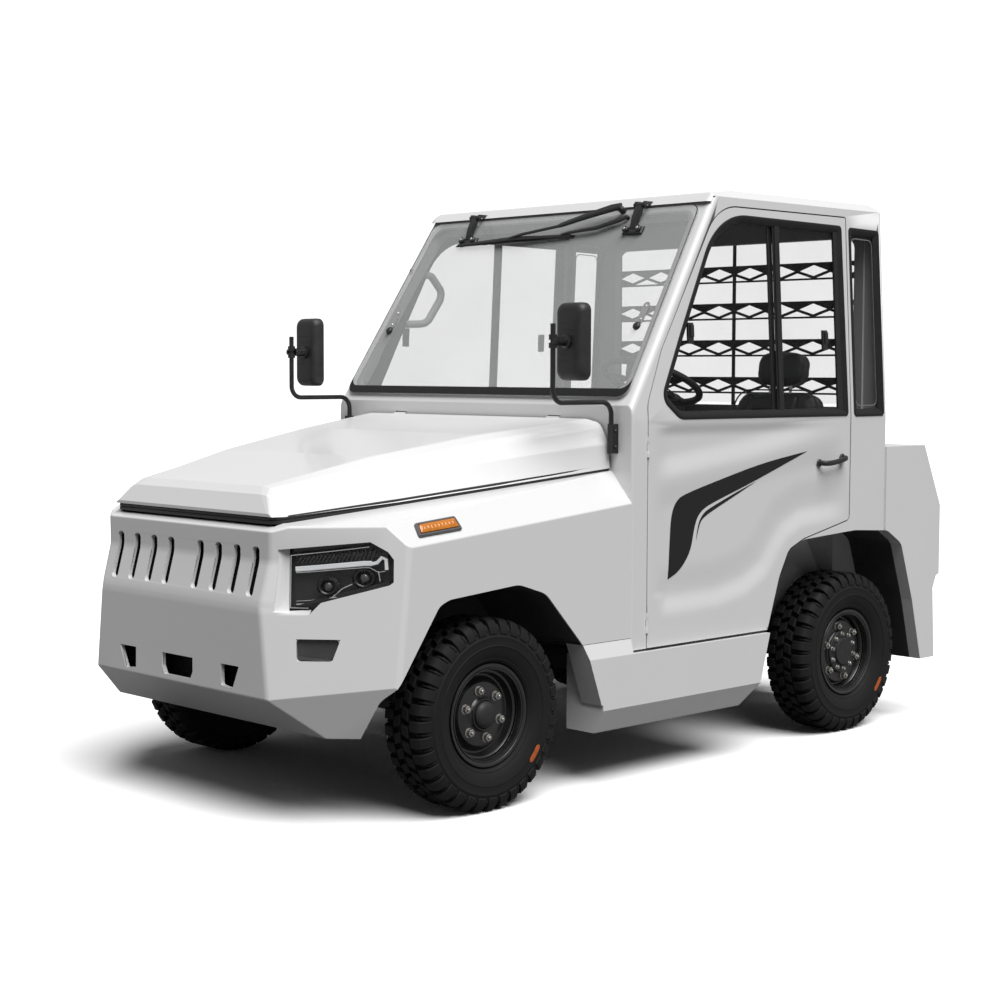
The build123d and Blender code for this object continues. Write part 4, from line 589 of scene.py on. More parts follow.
def nose_set_back(z):
    """How far the nose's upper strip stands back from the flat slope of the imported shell, in millimetres."""
    strip_z, fold_z, top_z = 846, 707, 945
    if z <= fold_z:
        return 0.0
    if z >= top_z:
        return 7.0
    if z >= strip_z:
        return 19.5 - 12.5 * (z - strip_z) / (top_z - strip_z)
    return 19.5 * (z - fold_z) / (strip_z - fold_z)


def pressed_back(place):
    """How far a place on the front body is pressed back with the nose, its folds softened, in metres."""
    station, z = (place.x - front_axle_x) * 1000, place.z * 1000
    share = min(max((station - 600) / 45, 0.0), 1.0)
    if not 650 < z < 890:
        return share * nose_set_back(z) / 1000
    reach = 26 if z < 770 else 12
    around = [-max(z + reach * step / 4 - 707, 0) * 31 / 233 - nose_set_back(z + reach * step / 4) for step in range(-4, 5)]
    return share * (-max(z - 707, 0) * 31 / 233 - sum(around) / 9) / 1000


def front_shell():
    """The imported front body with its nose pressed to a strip, a slope and an apron."""
    bm = bmesh.new()
    bm.from_mesh(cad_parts["front_body"].data)
    bmesh.ops.remove_doubles(bm, verts=bm.verts, dist=0.00002)
    for z in (0.682, 0.690, 0.698, 0.706, 0.714, 0.722, 0.730, 0.834, 0.840, 0.846, 0.852, 0.858):
        ahead_of = [face for face in bm.faces if face.calc_center_median().x > front_axle_x + 0.55]
        edges = {edge for face in ahead_of for edge in face.edges}
        verts = {vertex for face in ahead_of for vertex in face.verts}
        bmesh.ops.bisect_plane(bm, geom=[*ahead_of, *edges, *verts], plane_co=(0, 0, z), plane_no=(0, 0, 1), dist=0.00001)
    for vertex in bm.verts:
        vertex.co.x -= pressed_back(vertex.co)
        if vertex.co.x > front_axle_x + 0.62 and 0.734 < vertex.co.z < 0.893:
            for slot_y in (-0.3855, -0.285, -0.1845, -0.084, 0.084, 0.1845, 0.285, 0.3855):
                if abs(vertex.co.y - slot_y) < 0.0138:
                    vertex.co.y += (vertex.co.y - slot_y) * 0.38
    mesh = bpy.data.meshes.new("front_shell")
    bm.to_mesh(mesh)
    bm.free()
    return mesh


def even_shading(thing):
    """Keeps flat panels flat in the shading, so that only their soft folds turn the light."""
    weigh = thing.modifiers.new("even", "WEIGHTED_NORMAL")
    weigh.keep_sharp = True
    weigh.weight = 100
    bpy.context.view_layer.update()
    seen = thing.evaluated_get(bpy.context.evaluated_depsgraph_get())
    plain = bpy.data.meshes.new_from_object(seen)
    thing.modifiers.clear()
    plain.name = thing.name
    thing.data = plain


shell = piece("front_shell", front_shell(), body_white, "chassis", 30)
even_shading(shell)
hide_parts("front_body")



def loop_wall(bm, loop, inward, depth, thickness):
    """A turned-in lip: a closed loop carried inward by a depth, with a wall of a thickness outside the loop."""
    count = len(loop)
    centre = sum(loop, Vector()) / count
    away = []
    for i, point in enumerate(loop):
        before, after = loop[i - 1], loop[(i + 1) % count]
        along = (after - before).normalized()
        out = along.cross(inward).normalized()
        if out.dot(point - centre) < 0:
            out = -out
        away.append(out)
    rings = []
    for offset, sink in ((0.0, 0.0), (0.0, depth), (thickness, depth), (thickness, 0.0)):
        rings.append([bm.verts.new(point + out * offset + inward * sink) for point, out in zip(loop, away)])
    for r in range(4):
        near, far = rings[r], rings[(r + 1) % 4]
        for i in range(count):
            j = (i + 1) % count
            bm.faces.new((near[i], near[j], far[j], far[i]))


def nose_x(z):
    """The station of the nose's outer face at a height."""
    return 697 - max(z - 707, 0) * (697 - 666) / (940 - 707) - nose_set_back(z)


def eased_corners(corners, radius, steps=9):
    """An outline's corners rounded to one radius, with as many points at each."""
    result = []
    for i, corner in enumerate(corners):
        here = Vector(corner)
        to_last = (Vector(corners[i - 1]) - here).normalized()
        to_next = (Vector(corners[(i + 1) % len(corners)]) - here).normalized()
        half_angle = to_last.angle(to_next) / 2
        centre = here + (to_last + to_next).normalized() * radius / sin(half_angle)
        start = here + to_last * radius / tan(half_angle) - centre
        end = here + to_next * radius / tan(half_angle) - centre
        sweep = start.angle(end)
        for step in range(steps):
            share = step / (steps - 1)
            result.append(centre + (start * sin((1 - share) * sweep) + end * sin(share * sweep)) / sin(sweep))
    return result


def slot_outline(middle_y, low, high, width, steps=7):
    """An upright slot with round ends, as half widths and heights."""
    reach = width / 2
    points = []
    for k in range(steps + 1):
        turn = pi * k / steps
        points.append((middle_y + reach * cos(turn), high - reach + reach * sin(turn)))
    for k in range(1, 6):
        points.append((middle_y - reach, high - reach - (high - low - width) * k / 6))
    for k in range(steps + 1):
        turn = pi + pi * k / steps
        points.append((middle_y + reach * cos(turn), low + reach + reach * sin(turn)))
    for k in range(1, 6):
        points.append((middle_y + reach, low + reach + (high - low - width) * k / 6))
    return points


bm = bmesh.new()
wall = 0.0058
for step in range(4):
    for side in (-1, 1):
        outline = slot_outline(side * (84 + 100.5 * step), 735, 892, 37)
        loop_wall(bm, [at(nose_x(z) - 5.9, y, z) for y, z in outline], Vector((-1, 0, 0)), 0.008, 0.002)
for outline in (
    [(-245, 439), (-306, 431), (-342, 508), (-243, 508)],
    [(-73, 436), (73, 436), (88, 462), (88, 508), (-88, 508), (-88, 462)],
    [(245, 439), (306, 431), (342, 508), (243, 508)],
):
    middle_point = sum((Vector(point) for point in outline), Vector((0, 0))) / len(outline)
    wide = [tuple(middle_point + (Vector(point) - middle_point) * 1.07) for point in outline]
    rings = []
    for corners, radius, back in ((wide, 1.0, 7.0), (wide, 1.0, 4.6), (outline, 9.0, 4.6), (outline, 9.0, 15.0)):
        rings.append([bm.verts.new(at(697 - back, point.x, point.y)) for point in eased_corners(corners, radius)])
    for near, far in zip(rings, rings[1:]):
        for i in range(len(near)):
            j = (i + 1) % len(near)
            bm.faces.new((near[i], near[j], far[j], far[i]))
lips = piece("nose_lips", mesh_of(bm, "nose_lips"), body_white, "chassis", 25)

# a black baffle close behind the slots, bent as the nose is, a dark sheet of painted shade that keeps the slots black
# inside, and the radiator's core behind the low openings
bm = bmesh.new()
rings = []
for z in (716, 760, 800, 830, 846, 862, 890, 922):
    rings.append([bm.verts.new(at(nose_x(z) - back, half, z)) for back, half in ((34, -430), (34, 430), (38, 430), (38, -430))])
for near, far in zip(rings, rings[1:]):
    for i in range(4):
        bm.faces.new((near[i], near[(i + 1) % 4], far[(i + 1) % 4], far[i]))
bm.faces.new(rings[0])
bm.faces.new(list(reversed(rings[-1])))
for fin in range(30):
    z = 405 + 5.6 * fin
    verts = [bm.verts.new(at(x, y, z + t)) for x in (588, 640) for y in (-400, 400) for t in (0, 1.6)]
    for corners in ((0, 1, 3, 2), (4, 6, 7, 5), (0, 4, 5, 1), (2, 3, 7, 6), (0, 2, 6, 4), (1, 5, 7, 3)):
        bm.faces.new([verts[i] for i in corners])
verts = [bm.verts.new(at(x, y, z)) for x in (570, 588) for y in (-440, 440) for z in (398, 640)]
for corners in ((0, 1, 3, 2), (4, 6, 7, 5), (0, 4, 5, 1), (2, 3, 7, 6), (0, 2, 6, 4), (1, 5, 7, 3)):
    bm.faces.new([verts[i] for i in corners])
radiator = piece("radiator_and_baffle", mesh_of(bm, "radiator"), shade_black, "chassis", 20)

# ---------------------------------------------------------------- headlamps
# Each headlamp is one sealed unit set back in the corner: a black bezel with ribs along its brow, a pale light bar
# under them with a faint painted glow that lifts it out of the recess's shade, two projector lamps and a thin bright
# trim, all behind a clear polycarbonate lens.
lamp_origin = at(697, 486, 418)
corner_across = at(399, 800, 675) - lamp_origin
corner_up = at(666, 458, 940) - lamp_origin
lamp_normal = corner_across.cross(corner_up).normalized()
lamp_along = Vector((0, 0, 1)).cross(lamp_normal).normalized()
lamp_rise = lamp_normal.cross(lamp_along)


def lamp_place(along, up, out, side):
    """A place on the corner face: along it from the nose, up it from its foot and out of it, in millimetres."""
    place = lamp_origin + (lamp_along * along + lamp_rise * up + lamp_normal * out) / 1000
    return Vector((place.x - pressed_back(place), place.y * side, place.z))


def glass_of(name, colour, clear, rough=0.03):
    """Tinted glass: mostly clear, with a reflecting face and a faint film of dust."""
    made = bpy.data.materials.new(name)
    made.use_nodes = True
    nodes, links = made.node_tree.nodes, made.node_tree.links
    shader = nodes["Principled BSDF"]
    place = nodes.new("ShaderNodeTexCoord")
    film = nodes.new("ShaderNodeTexNoise")
    film.inputs["Scale"].default_value = 3.0
    film.inputs["Detail"].default_value = 5
    amount = nodes.new("ShaderNodeMapRange")
    amount.inputs["From Min"].default_value = 0.35
    amount.inputs["From Max"].default_value = 0.75
    amount.inputs["To Min"].default_value = 1.0 - clear
    amount.inputs["To Max"].default_value = 1.0 - clear + 0.02
    wipe = nodes.new("ShaderNodeMapRange")
    wipe.inputs["To Min"].default_value = rough
    wipe.inputs["To Max"].default_value = rough + 0.05
    shader.inputs["Base Color"].default_value = (*colour, 1)
    shader.inputs["Specular IOR Level"].default_value = 0.5
    links.new(place.outputs["Object"], film.inputs["Vector"])
    links.new(film.outputs["Fac"], amount.inputs["Value"])
    links.new(amount.outputs["Result"], shader.inputs["Alpha"])
    links.new(film.outputs["Fac"], wipe.inputs["Value"])
    links.new(wipe.outputs["Result"], shader.inputs["Roughness"])
    return made


lamp_black = finish("lamp_bezel", (0.006, 0.006, 0.0065), (0.012, 0.012, 0.012), 0.5, 30, 0.2, 0.1, 500, 0.08, 0.0003)
lamp_satin = finish("lamp_housing", (0.016, 0.016, 0.017), (0.026, 0.026, 0.027), 0.5, 40, 0.38, 0.12, 700, 0.15, 0.0003)
bright_trim = finish("lamp_chrome", (0.82, 0.82, 0.83), (0.6, 0.6, 0.62), 0.4, 80, 0.12, 0.1, 900, 0.05, 0.0002, Metallic=1.0)
# the light bar's faint white emission is painted light: a glow that lifts the bar out of the shade in its recess
light_bar = finish("light_bar", (0.80, 0.81, 0.82), (0.62, 0.62, 0.63), 0.5, 90, 0.2, 0.15, 240, 0.2, 0.0004, Emission_Color=(0.9, 0.92, 0.95, 1), Emission_Strength=0.22)
rib_grey = finish("lamp_ribs", (0.06, 0.06, 0.062), (0.10, 0.10, 0.10), 0.5, 60, 0.3, 0.1, 400, 0.15, 0.0003)
lens_clear = glass_of("lamp_lens", (0.05, 0.05, 0.052), 0.94)
projector_glass = finish("projector_glass", (0.05, 0.052, 0.055), (0.1, 0.1, 0.11), 0.5, 50, 0.05, 0.04, 300, 0.02, 0.0002, Coat_Weight=1.0)


def solid_run(bm, stations, side, closed_ends=True):
    """A solid from rings of lamp places, each ring a list of (along, up, out)."""
    rings = [[bm.verts.new(lamp_place(a, u, w, side)) for a, u, w in ring] for ring in stations]
    count = len(rings[0])
    for near, far in zip(rings, rings[1:]):
        for i in range(count):
            bm.faces.new((near[i], near[(i + 1) % count], far[(i + 1) % count], far[i]))
    if closed_ends:
        bm.faces.new(rings[0])
        bm.faces.new(list(reversed(rings[-1])))


def lamp_bar(bm, points, half, thick, side):
    """A bar of a half height and thickness along lamp places (along, up, out)."""
    rings = []
    for i, (a, u, w) in enumerate(points):
        before, after = points[max(i - 1, 0)], points[min(i + 1, len(points) - 1)]
        run = Vector((after[0] - before[0], after[1] - before[1])).normalized()
        nx, ny = -run.y * half, run.x * half
        rings.append(
            [
                (a - nx, u - ny, w - thick), (a - nx, u - ny, w - thick * 0.3), (a - nx * 0.7, u - ny * 0.7, w),
                (a + nx * 0.7, u + ny * 0.7, w), (a + nx, u + ny, w - thick * 0.3), (a + nx, u + ny, w - thick),
            ]
        )
    solid_run(bm, rings, side)


case_outline = [(4, 482), (325, 511), (386, 479), (409, 450), (409, 366), (389, 352), (176, 296), (136, 257), (4, 264)]
lens_outline = [(64, 454), (318, 484), (378, 462), (398, 442), (398, 372), (382, 362), (170, 306), (126, 288), (64, 288)]
for side, side_name in ((1, "left"), (-1, "right")):
    bm = bmesh.new()
    rings = []
    for depth, margin in ((-7.0, 0.0), (-58.0, 0.0), (-58.0, 14.0), (-58.0, 14.0)):
        middle_a = sum(a for a, _ in case_outline) / len(case_outline)
        middle_u = sum(u for _, u in case_outline) / len(case_outline)
        ring = []
        for a, u in case_outline:
            shrink = 1 - margin / 160
            ring.append((middle_a + (a - middle_a) * shrink, middle_u + (u - middle_u) * shrink, depth))
        rings.append(ring)
    inner = []
    for a, u in case_outline:
        inner.append((middle_a + (a - middle_a) * 0.985, middle_u + (u - middle_u) * 0.97, -9.0))
    solid_run(bm, [rings[0], rings[1]], side, closed_ends=False)
    solid_run(bm, [inner, [(a, u, -56.0) for a, u, _ in inner]], side, closed_ends=False)
    back = [bm.verts.new(lamp_place(a, u, -56.0, side)) for a, u, _ in inner]
    bm.faces.new(back)
    back = [bm.verts.new(lamp_place(a, u, w, side)) for a, u, w in rings[1]]
    bm.faces.new(back)
    rim_out = [bm.verts.new(lamp_place(a, u, w, side)) for a, u, w in rings[0]]
    rim_in = [bm.verts.new(lamp_place(a, u, w, side)) for a, u, w in inner]
    for i in range(len(rim_out)):
        j = (i + 1) % len(rim_out)
        bm.faces.new((rim_out[i], rim_out[j], rim_in[j], rim_in[i]))
    case = piece(f"lamp_case_{side_name}", mesh_of(bm, "case"), lamp_satin, "chassis", 30)
    if side > 0:
        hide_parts("headlamps")

    # the white return at the nose end, sloping back to the lens, with a ledge under it
    bm = bmesh.new()
    solid_run(
        bm,
        [
            [(21, 275, -6.5), (21, 471, -6.5), (17, 474, -6.5), (17, 272, -6.5)],
            [(44, 275, -27), (44, 473, -27), (42, 476, -30), (42, 272, -30)],
            [(62, 275, -37), (62, 476, -37), (62, 479, -40), (62, 272, -40)],
        ],
        side,
    )
    solid_run(
        bm,
        [
            [(20, 270, -6.3), (20, 276.5, -6.3), (20, 276.5, -40), (20, 270, -40)],
            [(131, 263, -6.3), (131, 269.5, -6.3), (131, 283, -40), (131, 276, -40)],
        ],
        side,
    )
    returns = piece(f"lamp_return_{side_name}", mesh_of(bm, "return"), body_white, "chassis", 40)

    # black bezel: brow with ribs, reflector bowls, floor
    bm = bmesh.new()
    solid_run(
        bm,
        [
            [(74, 440, -50), (74, 478, -34), (74, 482, -50)],
            [(200, 447, -44), (200, 489, -22), (200, 494, -46)],
            [(318, 452, -36), (318, 499, -12), (318, 504, -40)],
            [(372, 440, -34), (378, 468, -10), (380, 474, -36)],
        ],
        side,
    )
    for centre, radius in (((186, 358), 29), ((300, 385), 31)):
        rings = []
        for reach, out in ((radius + 8, -30), (radius, -22), (radius - 5, -24), (radius - 11, -48)):
            rings.append([(centre[0] + reach * cos(2 * pi * k / 32), centre[1] + reach * 0.86 * sin(2 * pi * k / 32), out) for k in range(32)])
        solid_run(bm, rings, side, closed_ends=False)
    solid_run(
        bm,
        [
            [(76, 292, -38), (76, 304, -42), (76, 292, -54)],
            [(170, 308, -28), (170, 322, -34), (170, 308, -50)],
            [(382, 364, -14), (382, 378, -20), (382, 364, -50)],
        ],
        side,
    )
    bezel = piece(f"lamp_bezel_{side_name}", mesh_of(bm, "bezel"), lamp_black, "chassis", 30)

    bm = bmesh.new()
    for rib in range(19):
        a = 84 + rib * 13.0
        low, high = 430 + rib * 0.5, 450 + rib * 1.15
        out_low, out_high = -38 + rib * 0.9, -29 + rib * 1.2
        solid_run(
            bm,
            [
                [(a, low, out_low), (a + 6, low + 1, out_low), (a + 3, low, out_low - 6)],
                [(a + 15, high - 1, out_high), (a + 21, high, out_high), (a + 18, high, out_high - 6)],
            ],
            side,
        )
    ribs = piece(f"lamp_ribs_{side_name}", mesh_of(bm, "ribs"), rib_grey, "chassis", 30)

    bm = bmesh.new()
    lamp_bar(bm, [(80, 410, -38), (150, 416, -34), (230, 424, -28), (300, 431, -22), (324, 431, -19)], 8.0, 8, side)
    lamp_bar(bm, [(322, 429, -18), (342, 434, -16), (356, 450, -14), (370, 444, -13), (372, 412, -13)], 5.5, 6, side)
    bar = piece(f"light_bar_{side_name}", mesh_of(bm, "bar"), light_bar, "chassis", 25)

    bm = bmesh.new()
    lamp_bar(bm, [(82, 399, -39), (150, 404, -35), (230, 412, -29), (300, 418, -23), (318, 418, -21), (346, 404, -19), (368, 408, -16)], 1.6, 6, side)
    lamp_bar(bm, [(188, 317, -30), (206, 330, -30), (232, 352, -30), (262, 366, -30)], 2.2, 6, side)
    lamp_bar(bm, [(188, 317, -30), (202, 324, -28), (218, 320, -26)], 4.0, 6, side)
    lamp_bar(bm, [(84, 300, -38), (130, 303, -36), (170, 310, -33)], 2.6, 6, side)
    lamp_bar(bm, [(84, 310, -39), (128, 313, -37), (160, 318, -35)], 1.5, 6, side)
    lamp_bar(bm, [(66, 288, -32), (66, 454, -32)], 2.0, 5, side)
    lamp_bar(bm, [(66, 453, -32), (190, 467, -23), (318, 483, -8)], 1.4, 4, side)
    lamp_bar(bm, [(66, 289, -32), (124, 289, -29)], 1.6, 4, side)
    lamp_bar(bm, [(346, 408, -17), (352, 376, -16)], 2.0, 5, side)
    chrome = piece(f"lamp_trim_{side_name}", mesh_of(bm, "trim"), bright_trim, "chassis", 25)

    bm = bmesh.new()
    for centre, radius in (((186, 358), 21), ((300, 385), 22)):
        rings = []
        for reach, out in ((0.8, -46), (0.8, -40), (0.76, -36), (0.62, -32), (0.4, -29), (0.18, -28)):
            rings.append([(centre[0] + reach * radius * cos(2 * pi * k / 36), centre[1] + reach * radius * sin(2 * pi * k / 36), out) for k in range(36)])
        solid_run(bm, rings, side)
    eyes = piece(f"projectors_{side_name}", mesh_of(bm, "eyes"), projector_glass, "chassis", 40)

    bm = bmesh.new()
    levels = []
    for drop in (0.0, 2.5):
        levels.append([])
        for a, u in lens_outline:
            out = -34 + 27 * min(max((a - 64) / 260, 0), 1) ** 0.8
            levels[-1].append((a, u, out - drop))
    solid_run(bm, levels, side)
    bmesh.ops.triangulate(bm, faces=[face for face in bm.faces if len(face.verts) > 4])
    lens = piece(f"lamp_lens_{side_name}", mesh_of(bm, "lens"), lens_clear, "chassis", 60)

# ---------------------------------------------------------------- corner openings and side lamps
# Behind each corner opening is a bolted black bracket. The finishes of the amber side lamps are made here; the lamps
# themselves, faceted polycarbonate lenses in grey bezels screwed to the fender's sloping band, are built with the tail
# lamps.
def rounded_outline(corners, step=9.0):
    """A closed outline from corners, each a place in two directions and the radius of the arc that rounds it."""
    points = []
    count = len(corners)
    for i, (a, b, radius) in enumerate(corners):
        here = Vector((a, b))
        before = (Vector(corners[i - 1][:2]) - here).normalized()
        after = (Vector(corners[(i + 1) % count][:2]) - here).normalized()
        half = before.angle(after) / 2
        reach = radius / max(abs(sin(half) / cos(half)), 0.001)
        centre = here + (before + after).normalized() * radius / sin(half)
        start, end = here + before * reach - centre, here + after * reach - centre
        turn = start.angle_signed(end)
        pieces = max(2, round(abs(turn) / radians(step)))
        for k in range(pieces + 1):
            angle = -turn * k / pieces
            points.append(centre + Vector((start.x * cos(angle) - start.y * sin(angle), start.x * sin(angle) + start.y * cos(angle))))
    return points


bracket_grey = finish("bracket_grey", (0.04, 0.04, 0.042), (0.06, 0.06, 0.06), 0.5, 20, 0.5, 0.1, 300, 0.2, 0.0004)
amber = finish("amber_lens", (0.62, 0.20, 0.010), (0.42, 0.11, 0.006), 0.6, 60, 0.12, 0.1, 160, 0.25, 0.0008, Coat_Weight=0.3)
lamp_grey = finish("lamp_base", (0.10, 0.10, 0.10), (0.07, 0.07, 0.07), 0.5, 30, 0.4, 0.1, 500, 0.2, 0.0003)
for side, side_name in ((1, "left"), (-1, "right")):
    bm = bmesh.new()
    solid_run(bm, [[(80, 112, -14), (80, 206, -14), (80, 206, -20), (80, 112, -20)], [(250, 112, -14), (250, 206, -14), (250, 206, -20), (250, 112, -20)]], side)
    solid_run(bm, [[(96, 128, -8.5), (96, 140, -10), (96, 128, -14)], [(215, 122, -8.5), (215, 128, -10), (215, 122, -14)]], side)
    for u in (132, 190):
        rings = [[(186 + r * cos(2 * pi * k / 6), u + r * sin(2 * pi * k / 6), out) for k in range(6)] for r, out in ((5, -14), (5, -10.5), (3.6, -9))]
        solid_run(bm, rings, side)
    bracket = piece(f"corner_bracket_{side_name}", mesh_of(bm, "bracket"), bracket_grey, "chassis", 30)

    bm = bmesh.new()
    corner_hole = [(92, 193), (232, 193), (206, 124), (94, 124)]
    wide_hole = [(88, 197), (238, 197), (209, 120), (90, 120)]
    rings = []
    for corners, radius, out in ((wide_hole, 1.0, -7.5), (wide_hole, 1.0, -4.5), (corner_hole, 12, -4.5), (corner_hole, 12, -13.5)):
        rings.append([(point.x, point.y, out) for point in eased_corners(corners, radius)])
    solid_run(bm, rings, side, closed_ends=False)
    hem = piece(f"corner_hem_{side_name}", mesh_of(bm, "hem"), body_white, "chassis", 40)

# ---------------------------------------------------------------- hood and its seal
# The hood is one pressed steel lid, hinged at its rear edge. A ribbed black rubber seal lies along the body's shoulders
# under its skirt and across the nose, and shows as a dark line all round.
keep_shape({"hood": body_white})
seal_rubber = finish("seal_rubber", (0.010, 0.010, 0.010), (0.022, 0.022, 0.022), 0.5, 30, 0.55, 0.15, 500, 0.3, 0.0004)


def strip(bm, path, section, closed=False):
    """Carries a section, given as two functions' offsets along each point's own axes, down a path."""
    rings = []
    for place, out, up in path:
        rings.append([bm.verts.new(place + out * a + up * b) for a, b in section])
    pairs = list(zip(rings, rings[1:])) + ([(rings[-1], rings[0])] if closed else [])
    count = len(section)
    for near, far in pairs:
        for i in range(count):
            j = (i + 1) % count
            bm.faces.new((near[i], near[j], far[j], far[i]))
    if not closed:
        bm.faces.new(rings[0])
        bm.faces.new(list(reversed(rings[-1])))


seam = [(-640, 697, 1101), (-188, 612, 1049), (194, 538, 1008), (586, 462, 970), (618, 446, 966), (634, 425, 965)]
line = [at(*point) for point in seam]
line += [at(station, -y, z) for station, y, z in reversed(seam)]
path = []
for i, place in enumerate(line):
    before, after = line[max(i - 1, 0)], line[min(i + 1, len(line) - 1)]
    along = (after - before).normalized()
    out = along.cross(Vector((0, 0, 1))).normalized()
    if out.dot(place - at(0, 0, place.z * 1000)) < 0:
        out = -out
    path.append((place, out, Vector((0, 0, 1))))
bm = bmesh.new()
strip(bm, path, [(-0.010, 0.0), (0.0, -0.003), (0.004, 0.002), (0.004, 0.007), (0.001, 0.009), (0.004, 0.011), (0.004, 0.018), (0.0, 0.021), (-0.010, 0.021)])
hood_seal = piece("hood_seal", mesh_of(bm, "hood_seal"), seal_rubber, "chassis", 40)

# ---------------------------------------------------------------- cab shell and roof
# The cab is a welded steel cage skinned in one with its pillars, painted white outside. Inside, the shell's pillars,
# floor and header are a mid grey, painted shade that stands for the white paint in the cab's shadow, and the roof's and
# cowl's inner faces are dark textured trim. The roof is a moulded white cap over the cage.
def two_faced(node, outside, inside, centre, name, body, well=None, fold=28):
    """A packed shell with one finish outside and another inside, and the wheel wells' linings apart from them."""
    bm = bmesh.new()
    bm.from_mesh(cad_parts[node].data)
    bmesh.ops.remove_doubles(bm, verts=bm.verts, dist=0.00002)
    if well:
        for y in (-0.748, 0.748):
            near = [face for face in bm.faces if face.calc_center_median().z < 0.95]
            parts = {*near, *(edge for face in near for edge in face.edges), *(v for face in near for v in face.verts)}
            bmesh.ops.bisect_plane(bm, geom=list(parts), plane_co=(0, y, 0), plane_no=(0, 1, 0), dist=0.00001)
    mesh = bpy.data.meshes.new(name)
    for face in bm.faces:
        middle_place = face.calc_center_median()
        face.material_index = 0 if face.normal.dot(middle_place - centre) > 0 else 1
        if well and 0.4 < abs(middle_place.y) < 0.748 and middle_place.z < 0.82:
            if abs(middle_place.x - well[0]) < well[1] and face.normal.dot(Vector((well[0], 0, 0.32)) - middle_place) > 0:
                face.material_index = 2
    bm.to_mesh(mesh)
    bm.free()
    for surface in (outside, inside, liner_plastic):
        mesh.materials.append(surface)
    made = piece(name, mesh, outside, body, fold)
    even_shading(made)
    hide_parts(node)
    return made


trim_dark = finish("cab_trim", (0.020, 0.020, 0.021), (0.030, 0.030, 0.030), 0.4, 6, 0.6, 0.12, 650, 0.35, 0.0004)
cab_low, cab_high = (Vector(corner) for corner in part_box("cab_shell"))
cab_middle = (cab_low + cab_high) / 2
# the cab's inside grey is painted shade: the white paint's shaded look, given to the shell's inner faces as a colour
cab_shade_grey = finish("cab_inside", (0.34, 0.34, 0.34), (0.40, 0.40, 0.40), 0.4, 5, 0.5, 0.12, 500, 0.2, 0.0004)
two_faced("cab_shell", body_white, cab_shade_grey, cab_middle, "cab_skin", "chassis", (-1.0185, 0.60))
two_faced("roof", body_white, trim_dark, cab_middle, "roof_cap", "chassis")
two_faced("cowl", body_white, trim_dark, cab_middle, "cowl_panel", "chassis")
two_faced("tail", body_white, body_white, Vector((-1.4, 0, 0.7)), "tail_shell", "chassis", (-1.0185, 0.56), 18)
keep_shape({"steps": body_white})

# ---------------------------------------------------------------- doors
# Each door is a pressed steel skin on a frame, painted white: under its window the skin is drawn in, with a
# soft ridge above and a flare below that sweeps up over the rear wheel. A black seal fills the seam round it.
belt_z, flank_half, cant_z, cant_half = 1270, 800, 2050, 757
lean = (flank_half - cant_half) / (cant_z - belt_z)


def on_flank(station, z, side, lift=0.0):
    """A place on the cab's flank, lifted off its face by a distance in millimetres."""
    y = flank_half - lean * max(z - belt_z, 0)
    return at(station, side * (y + lift), z)


def flank_path(outline, side, lift=0.0):
    """An outline of stations and heights laid on a flank, with the directions across it and off the face."""
    path = []
    count = len(outline)
    middle_point = sum(outline, Vector((0, 0))) / count
    for i, point in enumerate(outline):
        before, after = outline[i - 1], outline[(i + 1) % count]
        along = (after - point).normalized() + (point - before).normalized()
        out = Vector((along.y, -along.x)).normalized()
        if out.dot(point - middle_point) < 0 and abs(out.dot((point - middle_point).normalized())) > 0.1:
            out = -out
        place = on_flank(point.x, point.y, side, lift)
        away = place - on_flank(point.x + out.x, point.y + out.y, side, lift)
        face = Vector((0, side, lean if point.y > belt_z else 0)).normalized()
        path.append((place, -away.normalized(), face))
    return path


def ease(share):
    """A smooth step from 0 to 1."""
    share = min(max(share, 0.0), 1.0)
    return share * share * (3 - 2 * share)


def along_curve(points, station):
    """The height of a listed curve at a station, straight between its points."""
    points = sorted(points)
    if station <= points[0][0]:
        return points[0][1]
    for (s0, z0), (s1, z1) in zip(points, points[1:]):
        if station <= s1:
            return z0 + (z1 - z0) * (station - s0) / (s1 - s0)
    return points[-1][1]


ridge = [(-1850, 1203), (-1304, 1117), (-905, 1069), (-740, 1052)]
flare = [(-1950, 950), (-1716, 933), (-1614, 925), (-1502, 880), (-1430, 812), (-1371, 742), (-1264, 690), (-1113, 662), (-846, 656)]


flare_points = [Vector(point) for point in flare]


def drawn_in(station, z):
    """How far the door's skin is drawn in at a place, in millimetres."""
    spot = Vector((station, z))
    above = z - along_curve(ridge, station)
    ends = ease((-750 - station) / 120) * ease((station + 1900) / 420)
    groove = 10.0 * ease((belt_z - z) / 55) * ease(above / 95) * ends
    nearest = 999.0
    for start, end in zip(flare_points, flare_points[1:]):
        share = min(max((spot - start).dot(end - start) / (end - start).length_squared, 0), 1)
        nearest = min(nearest, (spot - start - (end - start) * share).length)
    outside = nearest if z < along_curve(flare, station) else -nearest
    ends = ease((-745 - station) / 110) * ease((station + 1935) / 150)
    floor = 5.0 * ease(-above / 110) + 4.0 * ease(1 + outside / 110)
    return groove + floor * (1 - ease(outside / 85)) * ends


